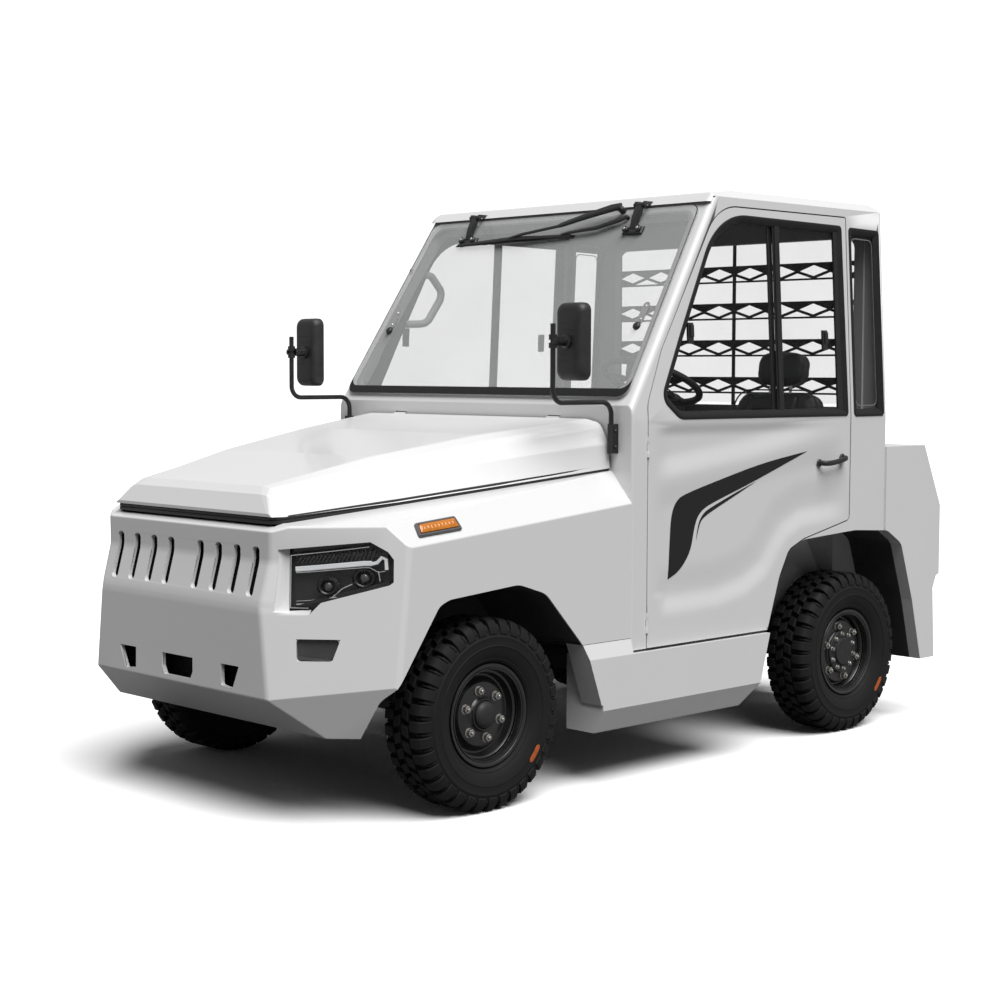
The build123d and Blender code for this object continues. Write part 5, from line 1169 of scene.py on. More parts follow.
def pressed_skin(mesh, side):
    """Puts a drawn skin in place of the door's flat outer face under the window."""
    bm = bmesh.new()
    bm.from_mesh(mesh)
    bmesh.ops.remove_doubles(bm, verts=bm.verts, dist=0.00002)
    outer = flank_half / 1000
    flat = {
        face
        for face in bm.faces
        if face.normal.y * side > 0.999 and all(abs(v.co.y * side - outer) < 0.0002 for v in face.verts)
    }
    rim = [edge for edge in bm.edges if sum(face in flat for face in edge.link_faces) == 1]
    posts = {vertex: None for edge in rim for vertex in edge.verts}
    for number, vertex in enumerate(posts):
        posts[vertex] = number
    places = [Vector((vertex.co.x, vertex.co.z)) for vertex in posts]
    ends = [tuple(posts[vertex] for vertex in edge.verts) for edge in rim]
    low = Vector((min(p.x for p in places), min(p.y for p in places)))
    high = Vector((max(p.x for p in places), max(p.y for p in places)))
    pitch = 0.011
    for row in range(1, int((high.y - low.y) / pitch)):
        for column in range(1, int((high.x - low.x) / pitch)):
            spot = Vector((low.x + (column + 0.5 * (row % 2)) * pitch, low.y + row * pitch))
            if all((spot - place).length > 0.006 for place in places):
                places.append(spot)
    spots, _, faces, _, _, _ = delaunay_2d_cdt(places, ends, [], 1, 0.00001)
    bmesh.ops.delete(bm, geom=list(flat), context="FACES_ONLY")
    made = []
    for spot in spots:
        station = (spot.x - front_axle_x) * 1000
        depth = drawn_in(station, spot.y * 1000)
        made.append(bm.verts.new((spot.x, side * (outer - depth / 1000), spot.y)))
    rim_places = {tuple(round(c, 5) for c in (v.co.x, v.co.z)): v for v in posts}
    for vertex in made:
        key = (round(vertex.co.x, 5), round(vertex.co.z, 5))
        if key in rim_places:
            vertex.co = rim_places[key].co
    for corners in faces:
        order = corners if side < 0 else list(reversed(corners))
        bm.faces.new([made[i] for i in order])
    bmesh.ops.remove_doubles(bm, verts=bm.verts, dist=0.00005)
    bmesh.ops.delete(bm, geom=[v for v in bm.verts if not v.link_faces], context="VERTS")
    bm.to_mesh(mesh)
    bm.free()


for side, side_name in ((1, "left"), (-1, "right")):
    node = f"door_{side_name}"
    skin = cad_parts[node].data.copy()
    skin.name = f"door_panel_{side_name}"
    skin.materials.clear()
    skin.materials.append(body_white)
    skin.materials.append(trim_dark)
    pressed_skin(skin, side)
    for face in skin.polygons:
        face.material_index = 1 if face.normal.y * side < -0.9 else 0
    panel = piece(f"door_panel_{side_name}", skin, body_white, node, 30)
    even_shading(panel)
    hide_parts(node)

# ---------------------------------------------------------------- door windows, gaskets and latches
# Each door has two sliding panes of tinted toughened glass in black channels. A wide moulded rubber gasket
# holds them in the skin; the quarter windows behind the doors are bonded panes with the same gasket.
side_glass = glass_of("side_glass", (0.03, 0.032, 0.032), 0.92)
gasket_rubber = finish("gasket_rubber", (0.007, 0.007, 0.0075), (0.013, 0.013, 0.013), 0.5, 24, 0.46, 0.14, 420, 0.25, 0.0004, Specular_IOR_Level=0.3)
channel_black = finish("anodised_channel", (0.012, 0.012, 0.0125), (0.02, 0.02, 0.02), 0.5, 40, 0.34, 0.12, 900, 0.12, 0.0002, Metallic=0.3)
latch_plastic = finish("latch_plastic", (0.010, 0.010, 0.010), (0.018, 0.018, 0.018), 0.5, 50, 0.4, 0.1, 800, 0.2, 0.0003)
keep_shape({"door_window_left": side_glass, "door_window_right": side_glass, "fixed_windows": side_glass})
window_corners = [(-905, 1277, 70), (-808, 1350, 50), (-918, 1574, 300), (-1150, 2020, 270), (-1906, 2012, 14), (-1917, 1274, 14)]
quarter_corners = [(-1960, 1271, 14), (-1958, 2009, 14), (-2158, 2005, 14), (-2160, 1271, 14)]
gasket_section = [
    (0.003, -0.001), (0.003, 0.0015), (0.001, 0.003), (-0.004, 0.0034), (-0.010, 0.002), (-0.018, -0.002),
    (-0.026, -0.008), (-0.028, -0.011), (-0.028, -0.0138), (-0.001, -0.0138), (-0.001, -0.001),
]


def bar_on_flank(bm, station, low, high, width, side, outer, inner):
    """An upright bar on a flank between two heights, from one depth to another under the face, in millimetres."""
    rings = []
    rows = 9
    for row in range(rows + 1):
        z = low + (high - low) * row / rows
        ring = []
        for s, lift in (
            (station + width / 2, inner), (station + width / 2, outer - 2), (station + width / 2 - 2, outer),
            (station - width / 2 + 2, outer), (station - width / 2, outer - 2), (station - width / 2, inner),
        ):
            ring.append(bm.verts.new(on_flank(s, z, side, lift)))
        rings.append(ring)
    for near, far in zip(rings, rings[1:]):
        for i in range(6):
            bm.faces.new((near[i], near[(i + 1) % 6], far[(i + 1) % 6], far[i]))
    bm.faces.new(rings[0])
    bm.faces.new(list(reversed(rings[-1])))


def box_on_flank(bm, low_station, high_station, low_z, high_z, side, outer, inner, ease_mm=3.0):
    """A block with eased edges on a flank, in millimetres."""
    levels = []
    for lift, shrink in ((inner, 0), (outer - ease_mm, 0), (outer, ease_mm)):
        levels.append(
            [
                bm.verts.new(on_flank(s, z, side, lift))
                for s, z in (
                    (low_station + shrink, low_z + shrink), (high_station - shrink, low_z + shrink),
                    (high_station - shrink, high_z - shrink), (low_station + shrink, high_z - shrink),
                )
            ]
        )
    bm.faces.new(levels[0])
    bm.faces.new(list(reversed(levels[-1])))
    for near, far in zip(levels, levels[1:]):
        for i in range(4):
            bm.faces.new((near[i], near[(i + 1) % 4], far[(i + 1) % 4], far[i]))


for side, side_name in ((1, "left"), (-1, "right")):
    bm = bmesh.new()
    strip(bm, flank_path(rounded_outline(window_corners, 5), side), gasket_section, closed=True)
    gasket = piece(f"door_gasket_{side_name}", mesh_of(bm, "gasket"), gasket_rubber, f"door_{side_name}", 40)
    bm = bmesh.new()
    strip(bm, flank_path(rounded_outline(quarter_corners, 9), side), gasket_section, closed=True)
    quarter = piece(f"quarter_gasket_{side_name}", mesh_of(bm, "gasket"), gasket_rubber, "chassis", 40)

    bm = bmesh.new()
    for station, width, outer, inner in ((-1506, 30, -6, -13.6), (-1486, 7, -9, -13.6), (-1878, 34, -5, -13.6), (-1478, 26, -19.4, -28)):
        bar_on_flank(bm, station, 1282, 2006, width, side, outer, inner)
    for low_z, high_z in ((1281, 1302), (1992, 2010)):
        box_on_flank(bm, -1900, -960 if low_z < 1500 else -1180, low_z, high_z, side, -7, -13.6, 1.5)
        box_on_flank(bm, -1900, -960 if low_z < 1500 else -1180, low_z, high_z, side, -19.4, -27, 1.5)
    sash = piece(f"sash_{side_name}", mesh_of(bm, "sash"), channel_black, f"door_{side_name}", 30)

    bm = bmesh.new()
    for station, z in ((-985, 1582), (-1790, 1567)):
        box_on_flank(bm, station - 15, station + 15, z - 38, z + 38, side, -3, -13.6, 3)
        box_on_flank(bm, station - 9, station + 9, z - 14, z + 30, side, 5, -3, 3)
    latches = piece(f"window_latches_{side_name}", mesh_of(bm, "latches"), latch_plastic, f"door_{side_name}", 35)

    bm = bmesh.new()
    inner_line = [(-1989, 1312, 26), (-1987, 1972, 26), (-2128, 1968, 26), (-2130, 1312, 26)]
    strip(bm, flank_path(rounded_outline(inner_line, 9), side), [(0.002, -0.0138), (0.002, -0.0115), (-0.002, -0.0115), (-0.002, -0.0138)], closed=True)
    trim_line = piece(f"quarter_bead_{side_name}", mesh_of(bm, "bead"), nut_steel, "chassis", 40)

# ---------------------------------------------------------------- door seams, stripes and handles
# A hollow rubber seal sits in the seam round each door and reads as a fine black line. The sweeping stripe
# on the door is cut vinyl film. The pull handle is a cranked black moulding on two feet.
door_corners = [
    (-730, 466, 8), (-730, 1330, 90), (-812, 1520, 200), (-1155, 2052, 200), (-1942, 2052, 12),
    (-1938, 859, 25), (-1640, 800, 60), (-1550, 765, 60), (-1494, 666, 120), (-1425, 466, 8),
]
stripe_vinyl = finish("stripe_vinyl", (0.007, 0.007, 0.0072), (0.011, 0.011, 0.011), 0.4, 12, 0.4, 0.06, 400, 0.04, 0.0003, Specular_IOR_Level=0.3)
handle_plastic = finish("handle_plastic", (0.012, 0.012, 0.012), (0.022, 0.022, 0.022), 0.5, 40, 0.42, 0.12, 900, 0.25, 0.0003)
stripe_upper = [(-850, 704), (-864, 850), (-868, 925), (-880, 962), (-908, 995), (-961, 1014), (-1108, 974 + 60), (-1653, 1139)]
stripe_outlines = (
    (
        [(-850, 705), (-857, 850), (-862, 915), (-872, 955), (-893, 985), (-925, 1004), (-1108, 1046), (-1380, 1104), (-1657, 1140)],
        [(-1657, 1140), (-1480, 1083), (-1305, 1028), (-1108, 972), (-1045, 951), (-1008, 922), (-990, 875), (-976, 812), (-950, 770), (-905, 727), (-850, 705)],
    ),
    (
        [(-1003, 834), (-1008, 872), (-1018, 903), (-1036, 926), (-1060, 942), (-1115, 962), (-1230, 1000), (-1347, 1036)],
        [(-1347, 1036), (-1230, 990), (-1109, 945), (-1052, 921), (-1028, 905), (-1014, 872), (-1003, 834)],
    ),
)


def smoothed(points, rounds=3):
    """Rounds an open run of points by cutting its corners, keeping its ends."""
    for _ in range(rounds):
        eased = [points[0]]
        for a, b in zip(points, points[1:]):
            eased += [a * 0.75 + b * 0.25, a * 0.25 + b * 0.75]
        points = eased + [points[-1]]
    return points


for side, side_name in ((1, "left"), (-1, "right")):
    bm = bmesh.new()
    outline = rounded_outline(door_corners, 6)
    strip(bm, flank_path(outline, side), [(0.0, -0.0035), (0.0, -0.010), (-0.008, -0.010), (-0.008, -0.0035), (-0.004, -0.0025)], closed=True)
    seam = piece(f"door_seal_{side_name}", mesh_of(bm, "seal"), seal_rubber, "chassis", 40)

    bm = bmesh.new()
    for upper, lower in stripe_outlines:
        ring = [Vector(p) for p in upper[:1]]
        run = smoothed([Vector(p) for p in upper])[:-1] + smoothed([Vector(p) for p in lower])[:-1]
        low = Vector((min(p.x for p in run), min(p.y for p in run)))
        high = Vector((max(p.x for p in run), max(p.y for p in run)))
        places = list(run)
        for row in range(1, int((high.y - low.y) / 10)):
            for column in range(1, int((high.x - low.x) / 10)):
                spot = Vector((low.x + 10 * column, low.y + 10 * row))
                if all((spot - place).length > 4 for place in run):
                    places.append(spot)
        ends = [(i, (i + 1) % len(run)) for i in range(len(run))]
        spots, _, faces, _, _, _ = delaunay_2d_cdt(places, ends, [], 1, 0.001)
        made = [bm.verts.new(at(p.x, side * (flank_half - drawn_in(p.x, p.y) + 0.9), p.y)) for p in spots]
        for corners in faces:
            bm.faces.new([made[i] for i in corners])
    mesh = mesh_of(bm, "stripe")
    if sum(polygon.normal.y for polygon in mesh.polygons) * side < 0:
        mesh.flip_normals()
    stripe = piece(f"stripe_{side_name}", mesh, stripe_vinyl, f"door_{side_name}", 60)

    bm = bmesh.new()
    low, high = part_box(f"door_handle_{side_name}")
    root = flank_half
    route = [(-1733, 1092, 1), (-1736, 1092, 16), (-1744, 1091, 26), (-1762, 1091, 30), (-1800, 1094, 31), (-1838, 1101, 32), (-1862, 1106, 31), (-1876, 1107, 27), (-1880, 1107, 14), (-1881, 1107, 1)]
    centres = smoothed([at(s, side * (root + lift), z) for s, z, lift in route], 2)
    path = []
    for i, place in enumerate(centres):
        along = (centres[min(i + 1, len(centres) - 1)] - centres[max(i - 1, 0)]).normalized()
        up = (Vector((0, 0, 1)) - along * along.z).normalized()
        path.append((place, along.cross(up).normalized(), up))
    reach = [(0.0065 * cos(2 * pi * k / 12), 0.0105 * sin(2 * pi * k / 12)) for k in range(12)]
    strip(bm, path, reach)
    for s, z, size in ((-1733, 1092, 15), (-1881, 1107, 17)):
        turned(bm, [(0.0, 0.0), (0.0, size / 1000), (0.003, size / 1000), (0.006, size / 1000 - 0.003), (0.007, 0.0)], at(s, side * root, z), (0, side, 0), 24)
    turned(bm, [(0.004, 0.0), (0.004, 0.011), (0.020, 0.0095), (0.022, 0.0075), (0.022, 0.0)], at(-1868, side * root, 1101), (0, side, 0), 24)
    handle = piece(f"door_pull_{side_name}", mesh_of(bm, "handle"), handle_plastic, f"door_{side_name}", 40)
    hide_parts(f"door_handle_{side_name}")

# ---------------------------------------------------------------- windscreen
# One flat pane of laminated glass, faintly tinted, bonded at its edge to a black rubber seal. It hangs on two
# black cast hinges bolted under the roof's brow and is held shut by two bright latch plates.
screen_foot = at(-671, 0, 1359)
screen_rise = (at(-1112, 0, 2049) - screen_foot).normalized()
screen_out = Vector((screen_rise.z, 0, -screen_rise.x))
screen_length = (at(-1112, 0, 2049) - screen_foot).length * 1000


def screen_place(y, up, out):
    """A place on the windscreen's plane: across it, up it from its foot and out of it, in millimetres."""
    return screen_foot + Vector((0, y, 0)) / 1000 + (screen_rise * up + screen_out * out) / 1000


def screen_outline(margin, foot_margin, radius, half_low=766.0, half_high=721.0):
    """The pane's outline (half width, height), in from its own edge, its corners rounded."""
    corners = [
        (-half_low + margin, foot_margin),
        (half_low - margin, foot_margin),
        (half_high - margin, screen_length - margin),
        (-half_high + margin, screen_length - margin),
    ]
    return eased_corners(corners, radius)


def layered(bm, rings, place, hollow=False):
    """Joins rings of points into walls and closes both ends, or runs back to the first ring if hollow."""
    built = [[bm.verts.new(place(*point)) for point in ring] for ring in rings]
    if hollow:
        built.append(built[0])
    for near, far in zip(built, built[1:]):
        for i in range(len(near)):
            j = (i + 1) % len(near)
            bm.faces.new((near[i], near[j], far[j], far[i]))
    if not hollow:
        bm.faces.new(built[0])
        bm.faces.new(list(reversed(built[-1])))


screen_glass = glass_of("screen_glass", (0.74, 0.75, 0.75), 0.74)
screen_lip = finish("screen_lip", (0.20, 0.20, 0.20), (0.28, 0.28, 0.28), 0.5, 20, 0.5, 0.1, 700, 0.2, 0.0003)
hinge_casting = finish("hinge_casting", (0.010, 0.010, 0.011), (0.024, 0.024, 0.024), 0.5, 40, 0.42, 0.12, 500, 0.4, 0.0005)
plated_steel = finish("plated_steel", (0.62, 0.62, 0.62), (0.42, 0.42, 0.41), 0.5, 60, 0.28, 0.15, 900, 0.2, 0.0003, Metallic=1.0)

bm = bmesh.new()
edge = screen_outline(0.0, -12.0, 45)
inner_edge = screen_outline(1.2, -10.8, 44)
rings = []
for outline, out in ((inner_edge, 7.0), (edge, 8.0), (edge, 12.0), (inner_edge, 13.0)):
    rings.append([(point.x, point.y, out) for point in outline])
layered(bm, rings, screen_place)
pane = piece("windscreen_pane", mesh_of(bm, "pane"), screen_glass, "windscreen", 40)
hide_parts("windscreen")

# black band printed round the pane's edge, wider along the foot, and the seal it closes on
bm = bmesh.new()
rings = []
for margin, foot_margin, radius, out in (
    (1.0, -11, 44, 12.9), (1.0, -11, 44, 14.0), (4.5, 22, 42, 14.0), (4.5, 22, 42, 12.9)
):
    rings.append([(point.x, point.y, out) for point in screen_outline(margin, foot_margin, radius)])
layered(bm, rings, screen_place, hollow=True)
band = piece("windscreen_band", mesh_of(bm, "band"), gasket_rubber, "windscreen", 40)
bm = bmesh.new()
rings = []
for margin, foot_margin, radius, out in (
    (20, 12, 50, 0.6), (20, 12, 50, 4.5), (24, 15, 50, 6.4), (29, 19, 50, 6.4), (33, 23, 50, 4.5), (33, 25, 50, 0.6)
):
    rings.append([(point.x, point.y, out) for point in screen_outline(margin, foot_margin, radius)])
layered(bm, rings, screen_place, hollow=True)
screen_seal = piece("screen_seal", mesh_of(bm, "screen_seal"), screen_lip, "chassis", 40)


def eased_block(bm, low, high, place, ease_by=2.0):
    """A block with its outer edges taken off, between two corners given in a place function's own terms."""
    x0, y0, z0 = low
    x1, y1, z1 = high
    e = ease_by
    layered(
        bm,
        [
            [(x0, y0, z0), (x1, y0, z0), (x1, y1, z0), (x0, y1, z0)],
            [(x0, y0, z1 - e), (x1, y0, z1 - e), (x1, y1, z1 - e), (x0, y1, z1 - e)],
            [(x0 + e, y0 + e, z1), (x1 - e, y0 + e, z1), (x1 - e, y1 - e, z1), (x0 + e, y1 - e, z1)],
        ],
        place,
    )


def knob(bm, centre, radius, low, high, place, corners=16):
    """A round stud standing on a plane, its top edge eased."""
    rings = []
    for reach, out in ((radius, low), (radius, high - radius * 0.3), (radius * 0.7, high)):
        ring = []
        for k in range(corners):
            angle = 2 * pi * k / corners
            ring.append((centre[0] + reach * cos(angle), centre[1] + reach * sin(angle), out))
        rings.append(ring)
    layered(bm, rings, place)


# hinge leaves: a curved arm from the barrel down to a foot with two studs, and the foot's plate
for side, side_name in ((1, "left"), (-1, "right")):
    middle_y = 448 * side
    bm = bmesh.new()
    turned(
        bm,
        [(-0.0149, 0.0042), (-0.0149, 0.0078), (0.0149, 0.0078), (0.0149, 0.0042)],
        at(-1076, middle_y, 2064),
        (0, 1, 0),
        20,
        closed=True,
    )
    arm = []
    for up, out, thick, half in ((812, 38.4, 12, 14), (800, 37, 14, 17), (780, 35, 17, 17), (756, 33, 18, 15), (738, 29, 16, 14), (716, 20, 12, 19)):
        arm.append([(middle_y - half, up, out - thick / 2), (middle_y + half, up, out - thick / 2), (middle_y + half * 0.8, up, out + thick / 2), (middle_y - half * 0.8, up, out + thick / 2)])
    layered(bm, arm, screen_place)
    eased_block(bm, (middle_y - 48, 694, 13.2), (middle_y + 48, 726, 24), screen_place, 4)
    knob(bm, (middle_y - 32, 710), 13, 24, 36, screen_place)
    knob(bm, (middle_y + 32, 710), 13, 24, 36, screen_place)
    leaf = piece(f"hinge_leaf_{side_name}", mesh_of(bm, "leaf"), hinge_casting, "windscreen", 35)
    bm = bmesh.new()
    for y in (middle_y - 32, middle_y + 32):
        knob(bm, (y, 710), 6.0, 36, 39, screen_place, 6)
    studs = piece(f"hinge_studs_{side_name}", mesh_of(bm, "studs"), plated_steel, "windscreen", 30)

# latch plates: a bright strap with two bolts, and a black knob on a small block under it
for side, side_name in ((1, "left"), (-1, "right")):
    y = 676 * side
    bm = bmesh.new()
    outline = []
    for centre_up, start in ((372, 0), (308, pi)):
        for k in range(9):
            angle = start + pi * k / 8
            outline.append((y + 15 * cos(angle), centre_up + 15 * sin(angle)))
    layered(bm, [[(a, b, out) for a, b in outline] for out in (13.6, 16.4)], screen_place)
    for up in (368, 312):
        knob(bm, (y, up), 5.5, 16.4, 20, screen_place, 6)
    latch = piece(f"latch_plate_{side_name}", mesh_of(bm, "latch"), plated_steel, "windscreen", 30)
    bm = bmesh.new()
    knob(bm, (y - 2 * side, 282), 15, 13.5, 26, screen_place, 10)
    eased_block(bm, (y - 8, 286, 13.5), (y + 8, 300, 20), screen_place)
    knob_cap = piece(f"latch_knob_{side_name}", mesh_of(bm, "knob"), latch_plastic, "windscreen", 30)

# ---------------------------------------------------------------- hinge ears and wiper
# The fixed ears are black castings on the brow. The wiper is pressed steel, painted black: a tapered arm on a
# spindle, a steadying link, and a rubber blade held by a sprung bow.
keep_shape({"windscreen_brackets": hinge_casting})
blade_rubber = finish("blade_rubber", (0.010, 0.010, 0.010), (0.02, 0.02, 0.02), 0.5, 50, 0.6, 0.15, 900, 0.3, 0.0004, Specular_IOR_Level=0.3)
wiper_black = finish("wiper_black", (0.012, 0.012, 0.012), (0.03, 0.03, 0.03), 0.5, 50, 0.4, 0.15, 900, 0.25, 0.0004)


def arm_along(bm, points, place):
    """A pressed arm through points (across, up, out, half width, half thickness), thin at its tip."""
    rings = []
    for i, (a, u, w, half, thick) in enumerate(points):
        before, after = points[max(i - 1, 0)], points[min(i + 1, len(points) - 1)]
        run = Vector((after[0] - before[0], after[1] - before[1])).normalized()
        nx, ny = -run.y, run.x
        rings.append(
            [
                (a - nx * half, u - ny * half, w - thick),
                (a + nx * half, u + ny * half, w - thick),
                (a + nx * half, u + ny * half, w + thick * 0.4),
                (a + nx * half * 0.6, u + ny * half * 0.6, w + thick),
                (a - nx * half * 0.6, u - ny * half * 0.6, w + thick),
                (a - nx * half, u - ny * half, w + thick * 0.4),
            ]
        )
    layered(bm, rings, place)


# across the pane a positive half width lies to the tug's left, where the pivot stands
pivot_y, pivot_up = 351.0, screen_length - 14
blade_from, blade_to = (-507.0, screen_length - 128), (148.0, screen_length - 116)
grip_y, grip_up = (blade_from[0] + blade_to[0]) / 2, (blade_from[1] + blade_to[1]) / 2
bm = bmesh.new()
knob(bm, (pivot_y, pivot_up), 13, 14, 40, screen_place, 20)
knob(bm, (pivot_y, pivot_up), 7, 40, 56, screen_place, 12)
arm_along(
    bm,
    [
        (pivot_y + 12, pivot_up + 2, 50, 12, 6),
        (pivot_y - 30, pivot_up - 8, 53, 15, 7),
        (pivot_y - 150, pivot_up - 36, 51, 12, 6.5),
        (pivot_y - 270, pivot_up - 66, 46, 9, 5),
        (pivot_y - 285, pivot_up - 70, 45, 5.5, 3.5),
        (grip_y + 60, grip_up + 14, 42, 5.5, 3.5),
        (grip_y - 4, grip_up, 40, 5.5, 3.5),
    ],
    screen_place,
)
arm_along(
    bm,
    [
        (pivot_y + 44, pivot_up - 34, 27, 8, 4),
        (pivot_y + 10, pivot_up - 50, 30, 9, 5),
        (pivot_y - 90, pivot_up - 80, 31, 7, 4.5),
        (blade_to[0] - 20, blade_to[1] + 10, 30, 5, 3),
        (blade_to[0] - 60, blade_to[1] + 2, 30, 5, 3),
    ],
    screen_place,
)
knob(bm, (pivot_y + 40, pivot_up - 34), 8, 14, 32, screen_place, 14)
along = Vector((blade_to[0] - blade_from[0], blade_to[1] - blade_from[1]))
blade_length = along.length
along.normalize()
spots = []
for share, lift in ((0.02, 24), (0.14, 27), (0.27, 31), (0.40, 35), (0.5, 37), (0.60, 35), (0.73, 31), (0.86, 27), (0.98, 24)):
    spots.append((blade_from[0] + along.x * blade_length * share, blade_from[1] + along.y * blade_length * share, lift, 7.5 if 0.3 < share < 0.7 else 6.0, 2.4))
arm_along(bm, spots, screen_place)
for start, middle_share, end in ((0.04, 0.16, 0.28), (0.30, 0.5, 0.70), (0.72, 0.84, 0.96)):
    spots = []
    for share, lift in ((start, 20), ((start + middle_share) / 2, 23), (middle_share, 25.5), ((end + middle_share) / 2, 23), (end, 20)):
        spots.append((blade_from[0] + along.x * blade_length * share, blade_from[1] + along.y * blade_length * share, lift, 8.0, 1.8))
    arm_along(bm, spots, screen_place)
wiper_frame = piece("wiper_arm", mesh_of(bm, "wiper_arm"), wiper_black, "windscreen", 35)
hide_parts("wiper")
bm = bmesh.new()
ends = [(blade_from[0] - 2, blade_from[1]), (blade_to[0] + 2, blade_to[1])]
rings = []
for y, up in ends:
    rings.append([(y, up - 4.5, 19), (y, up + 4.5, 19), (y, up + 4.5, 16.5), (y, up + 1.2, 15.6), (y, up + 0.8, 13.4), (y, up - 0.8, 13.4), (y, up - 1.2, 15.6), (y, up - 4.5, 16.5)])
layered(bm, rings, screen_place)
blade = piece("wiper_blade", mesh_of(bm, "blade"), blade_rubber, "windscreen", 40)

# ---------------------------------------------------------------- mirrors
# Each mirror is a moulded black shell with glass facing aft, clamped to a bent steel tube that is held to the
# cab's corner by a folded bracket.
mirror_plastic = finish("mirror_plastic", (0.013, 0.013, 0.0135), (0.028, 0.028, 0.028), 0.5, 25, 0.42, 0.14, 420, 0.35, 0.0005)
mirror_silver = finish("mirror_silver", (0.85, 0.86, 0.86), (0.75, 0.76, 0.76), 0.4, 20, 0.03, 0.03, 500, 0.02, 0.0002, Metallic=1.0)
tube_black = finish("tube_black", (0.008, 0.008, 0.008), (0.018, 0.018, 0.018), 0.5, 30, 0.3, 0.12, 700, 0.2, 0.0003)


def rounded_box(x0, x1, half_y, half_z, corner, steps=7):
    """Rings (x, y, z) of a rounded oblong, ready to be layered."""
    ring = []
    for sy, sz, start in ((1, 1, 0), (-1, 1, 1), (-1, -1, 2), (1, -1, 3)):
        for k in range(steps):
            angle = pi / 2 * (start + k / (steps - 1))
            ring.append((sy * (half_y - corner) + corner * cos(angle), sz * (half_z - corner) + corner * sin(angle)))
    return [(x0, *point) for point in ring], [(x1, *point) for point in ring]


for side, side_name in ((1, "left"), (-1, "right")):
    head_z = 1546 if side > 0 else 1516
    head_x, head_y = -431, 721 * side

    def head_place(x, y, z, head_y=head_y, head_z=head_z):
        return at(x, head_y + y, head_z + z)

    bm = bmesh.new()
    rings = []
    for x, half_y, half_z, corner in (
        (-455.5, 62, 130, 26),
        (-453, 64.5, 132.5, 29),
        (-438, 65, 133, 30),
        (-424, 63.5, 131.5, 30),
        (-414, 58, 126, 28),
        (-408.5, 50, 118, 26),
        (-406.2, 42, 108, 22),
    ):
        rings.append(rounded_box(x, x, half_y, half_z, corner)[0])
    layered(bm, rings, head_place)
    for z in range(7):
        eased_block(bm, (-30, -70 + z * 22, -1), (30, -66 + z * 22, 0.8), lambda a, b, c: head_place(-406.2 + c, a, b), 0.6)
    shell = piece(f"mirror_shell_{side_name}", mesh_of(bm, "mirror_shell"), mirror_plastic, "chassis", 35)
    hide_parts(f"mirror_{side_name}")
    bm = bmesh.new()
    layered(bm, [rounded_box(-456.8, 0, 57, 125, 23)[0], rounded_box(-455, 0, 57, 125, 23)[0]], head_place)
    glass = piece(f"mirror_glass_{side_name}", mesh_of(bm, "mirror_glass"), mirror_silver, "chassis", 35)

    # the tube: up from the bracket, out along its arm and up again past the head's clamp
    bm = bmesh.new()
    y = 716 * side
    corners = [(-632, y, 1160), (-632, y, 1338), (-339, y, 1338), (-339, y, head_z + 60)]
    bend = 45
    path = [Vector(corners[0])]
    for here, last, after in ((corners[1], corners[0], corners[2]), (corners[2], corners[1], corners[3])):
        here, last, after = Vector(here), Vector(last), Vector(after)
        back, on = (last - here).normalized(), (after - here).normalized()
        for k in range(9):
            angle = pi / 2 * k / 8
            path.append(here + (back + on) * bend - on * bend * cos(angle) - back * bend * sin(angle))
    path.append(Vector(corners[3]))
    rings = []
    for i, spot in enumerate(path):
        run = (path[min(i + 1, len(path) - 1)] - path[max(i - 1, 0)]).normalized()
        across = Vector((0, 1, 0))
        other = run.cross(across)
        rings.append([tuple(spot + (across * cos(2 * pi * k / 14) + other * sin(2 * pi * k / 14)) * 8.8) for k in range(14)])
    layered(bm, rings, at)
    # clamps: two collars on the tube and a boss to the head, with a knurled knob
    for z in (head_z - 14, head_z + 14):
        rings = [[(-339 + 14 * cos(2 * pi * k / 18), y + 14 * sin(2 * pi * k / 18), z + dz) for k in range(18)] for dz in (-9, 9)]
        layered(bm, rings, at)
    rings = [[(x, y + r * cos(2 * pi * k / 16), head_z + r * sin(2 * pi * k / 16)) for k in range(16)] for x, r in ((-407, 24), (-398, 24), (-394, 17), (-366, 15), (-352, 15))]
    layered(bm, rings, at)
    rings = [[(-339 + r * cos(2 * pi * k / 12), y + side * dy, head_z + r * sin(2 * pi * k / 12)) for k in range(12)] for dy, r in ((8, 13), (17, 13), (18.5, 10))]
    layered(bm, rings, at)
    # the folded bracket against the cab's corner, with its two bolts
    low_x, high_x = -652, -621
    inner_y, outer_y = 709, 735
    eased_block(bm, (low_x, 1158, inner_y), (high_x, 1262, outer_y), lambda a, b, c: at(a, c * side, b), 3)
    for z in (1182, 1238):
        knob(bm, (-636, z), 8, outer_y - 1, outer_y + 5, lambda a, b, c: at(a, c * side, b), 6)
    stalk = piece(f"mirror_stalk_{side_name}", mesh_of(bm, "stalk"), tube_black, "chassis", 35)

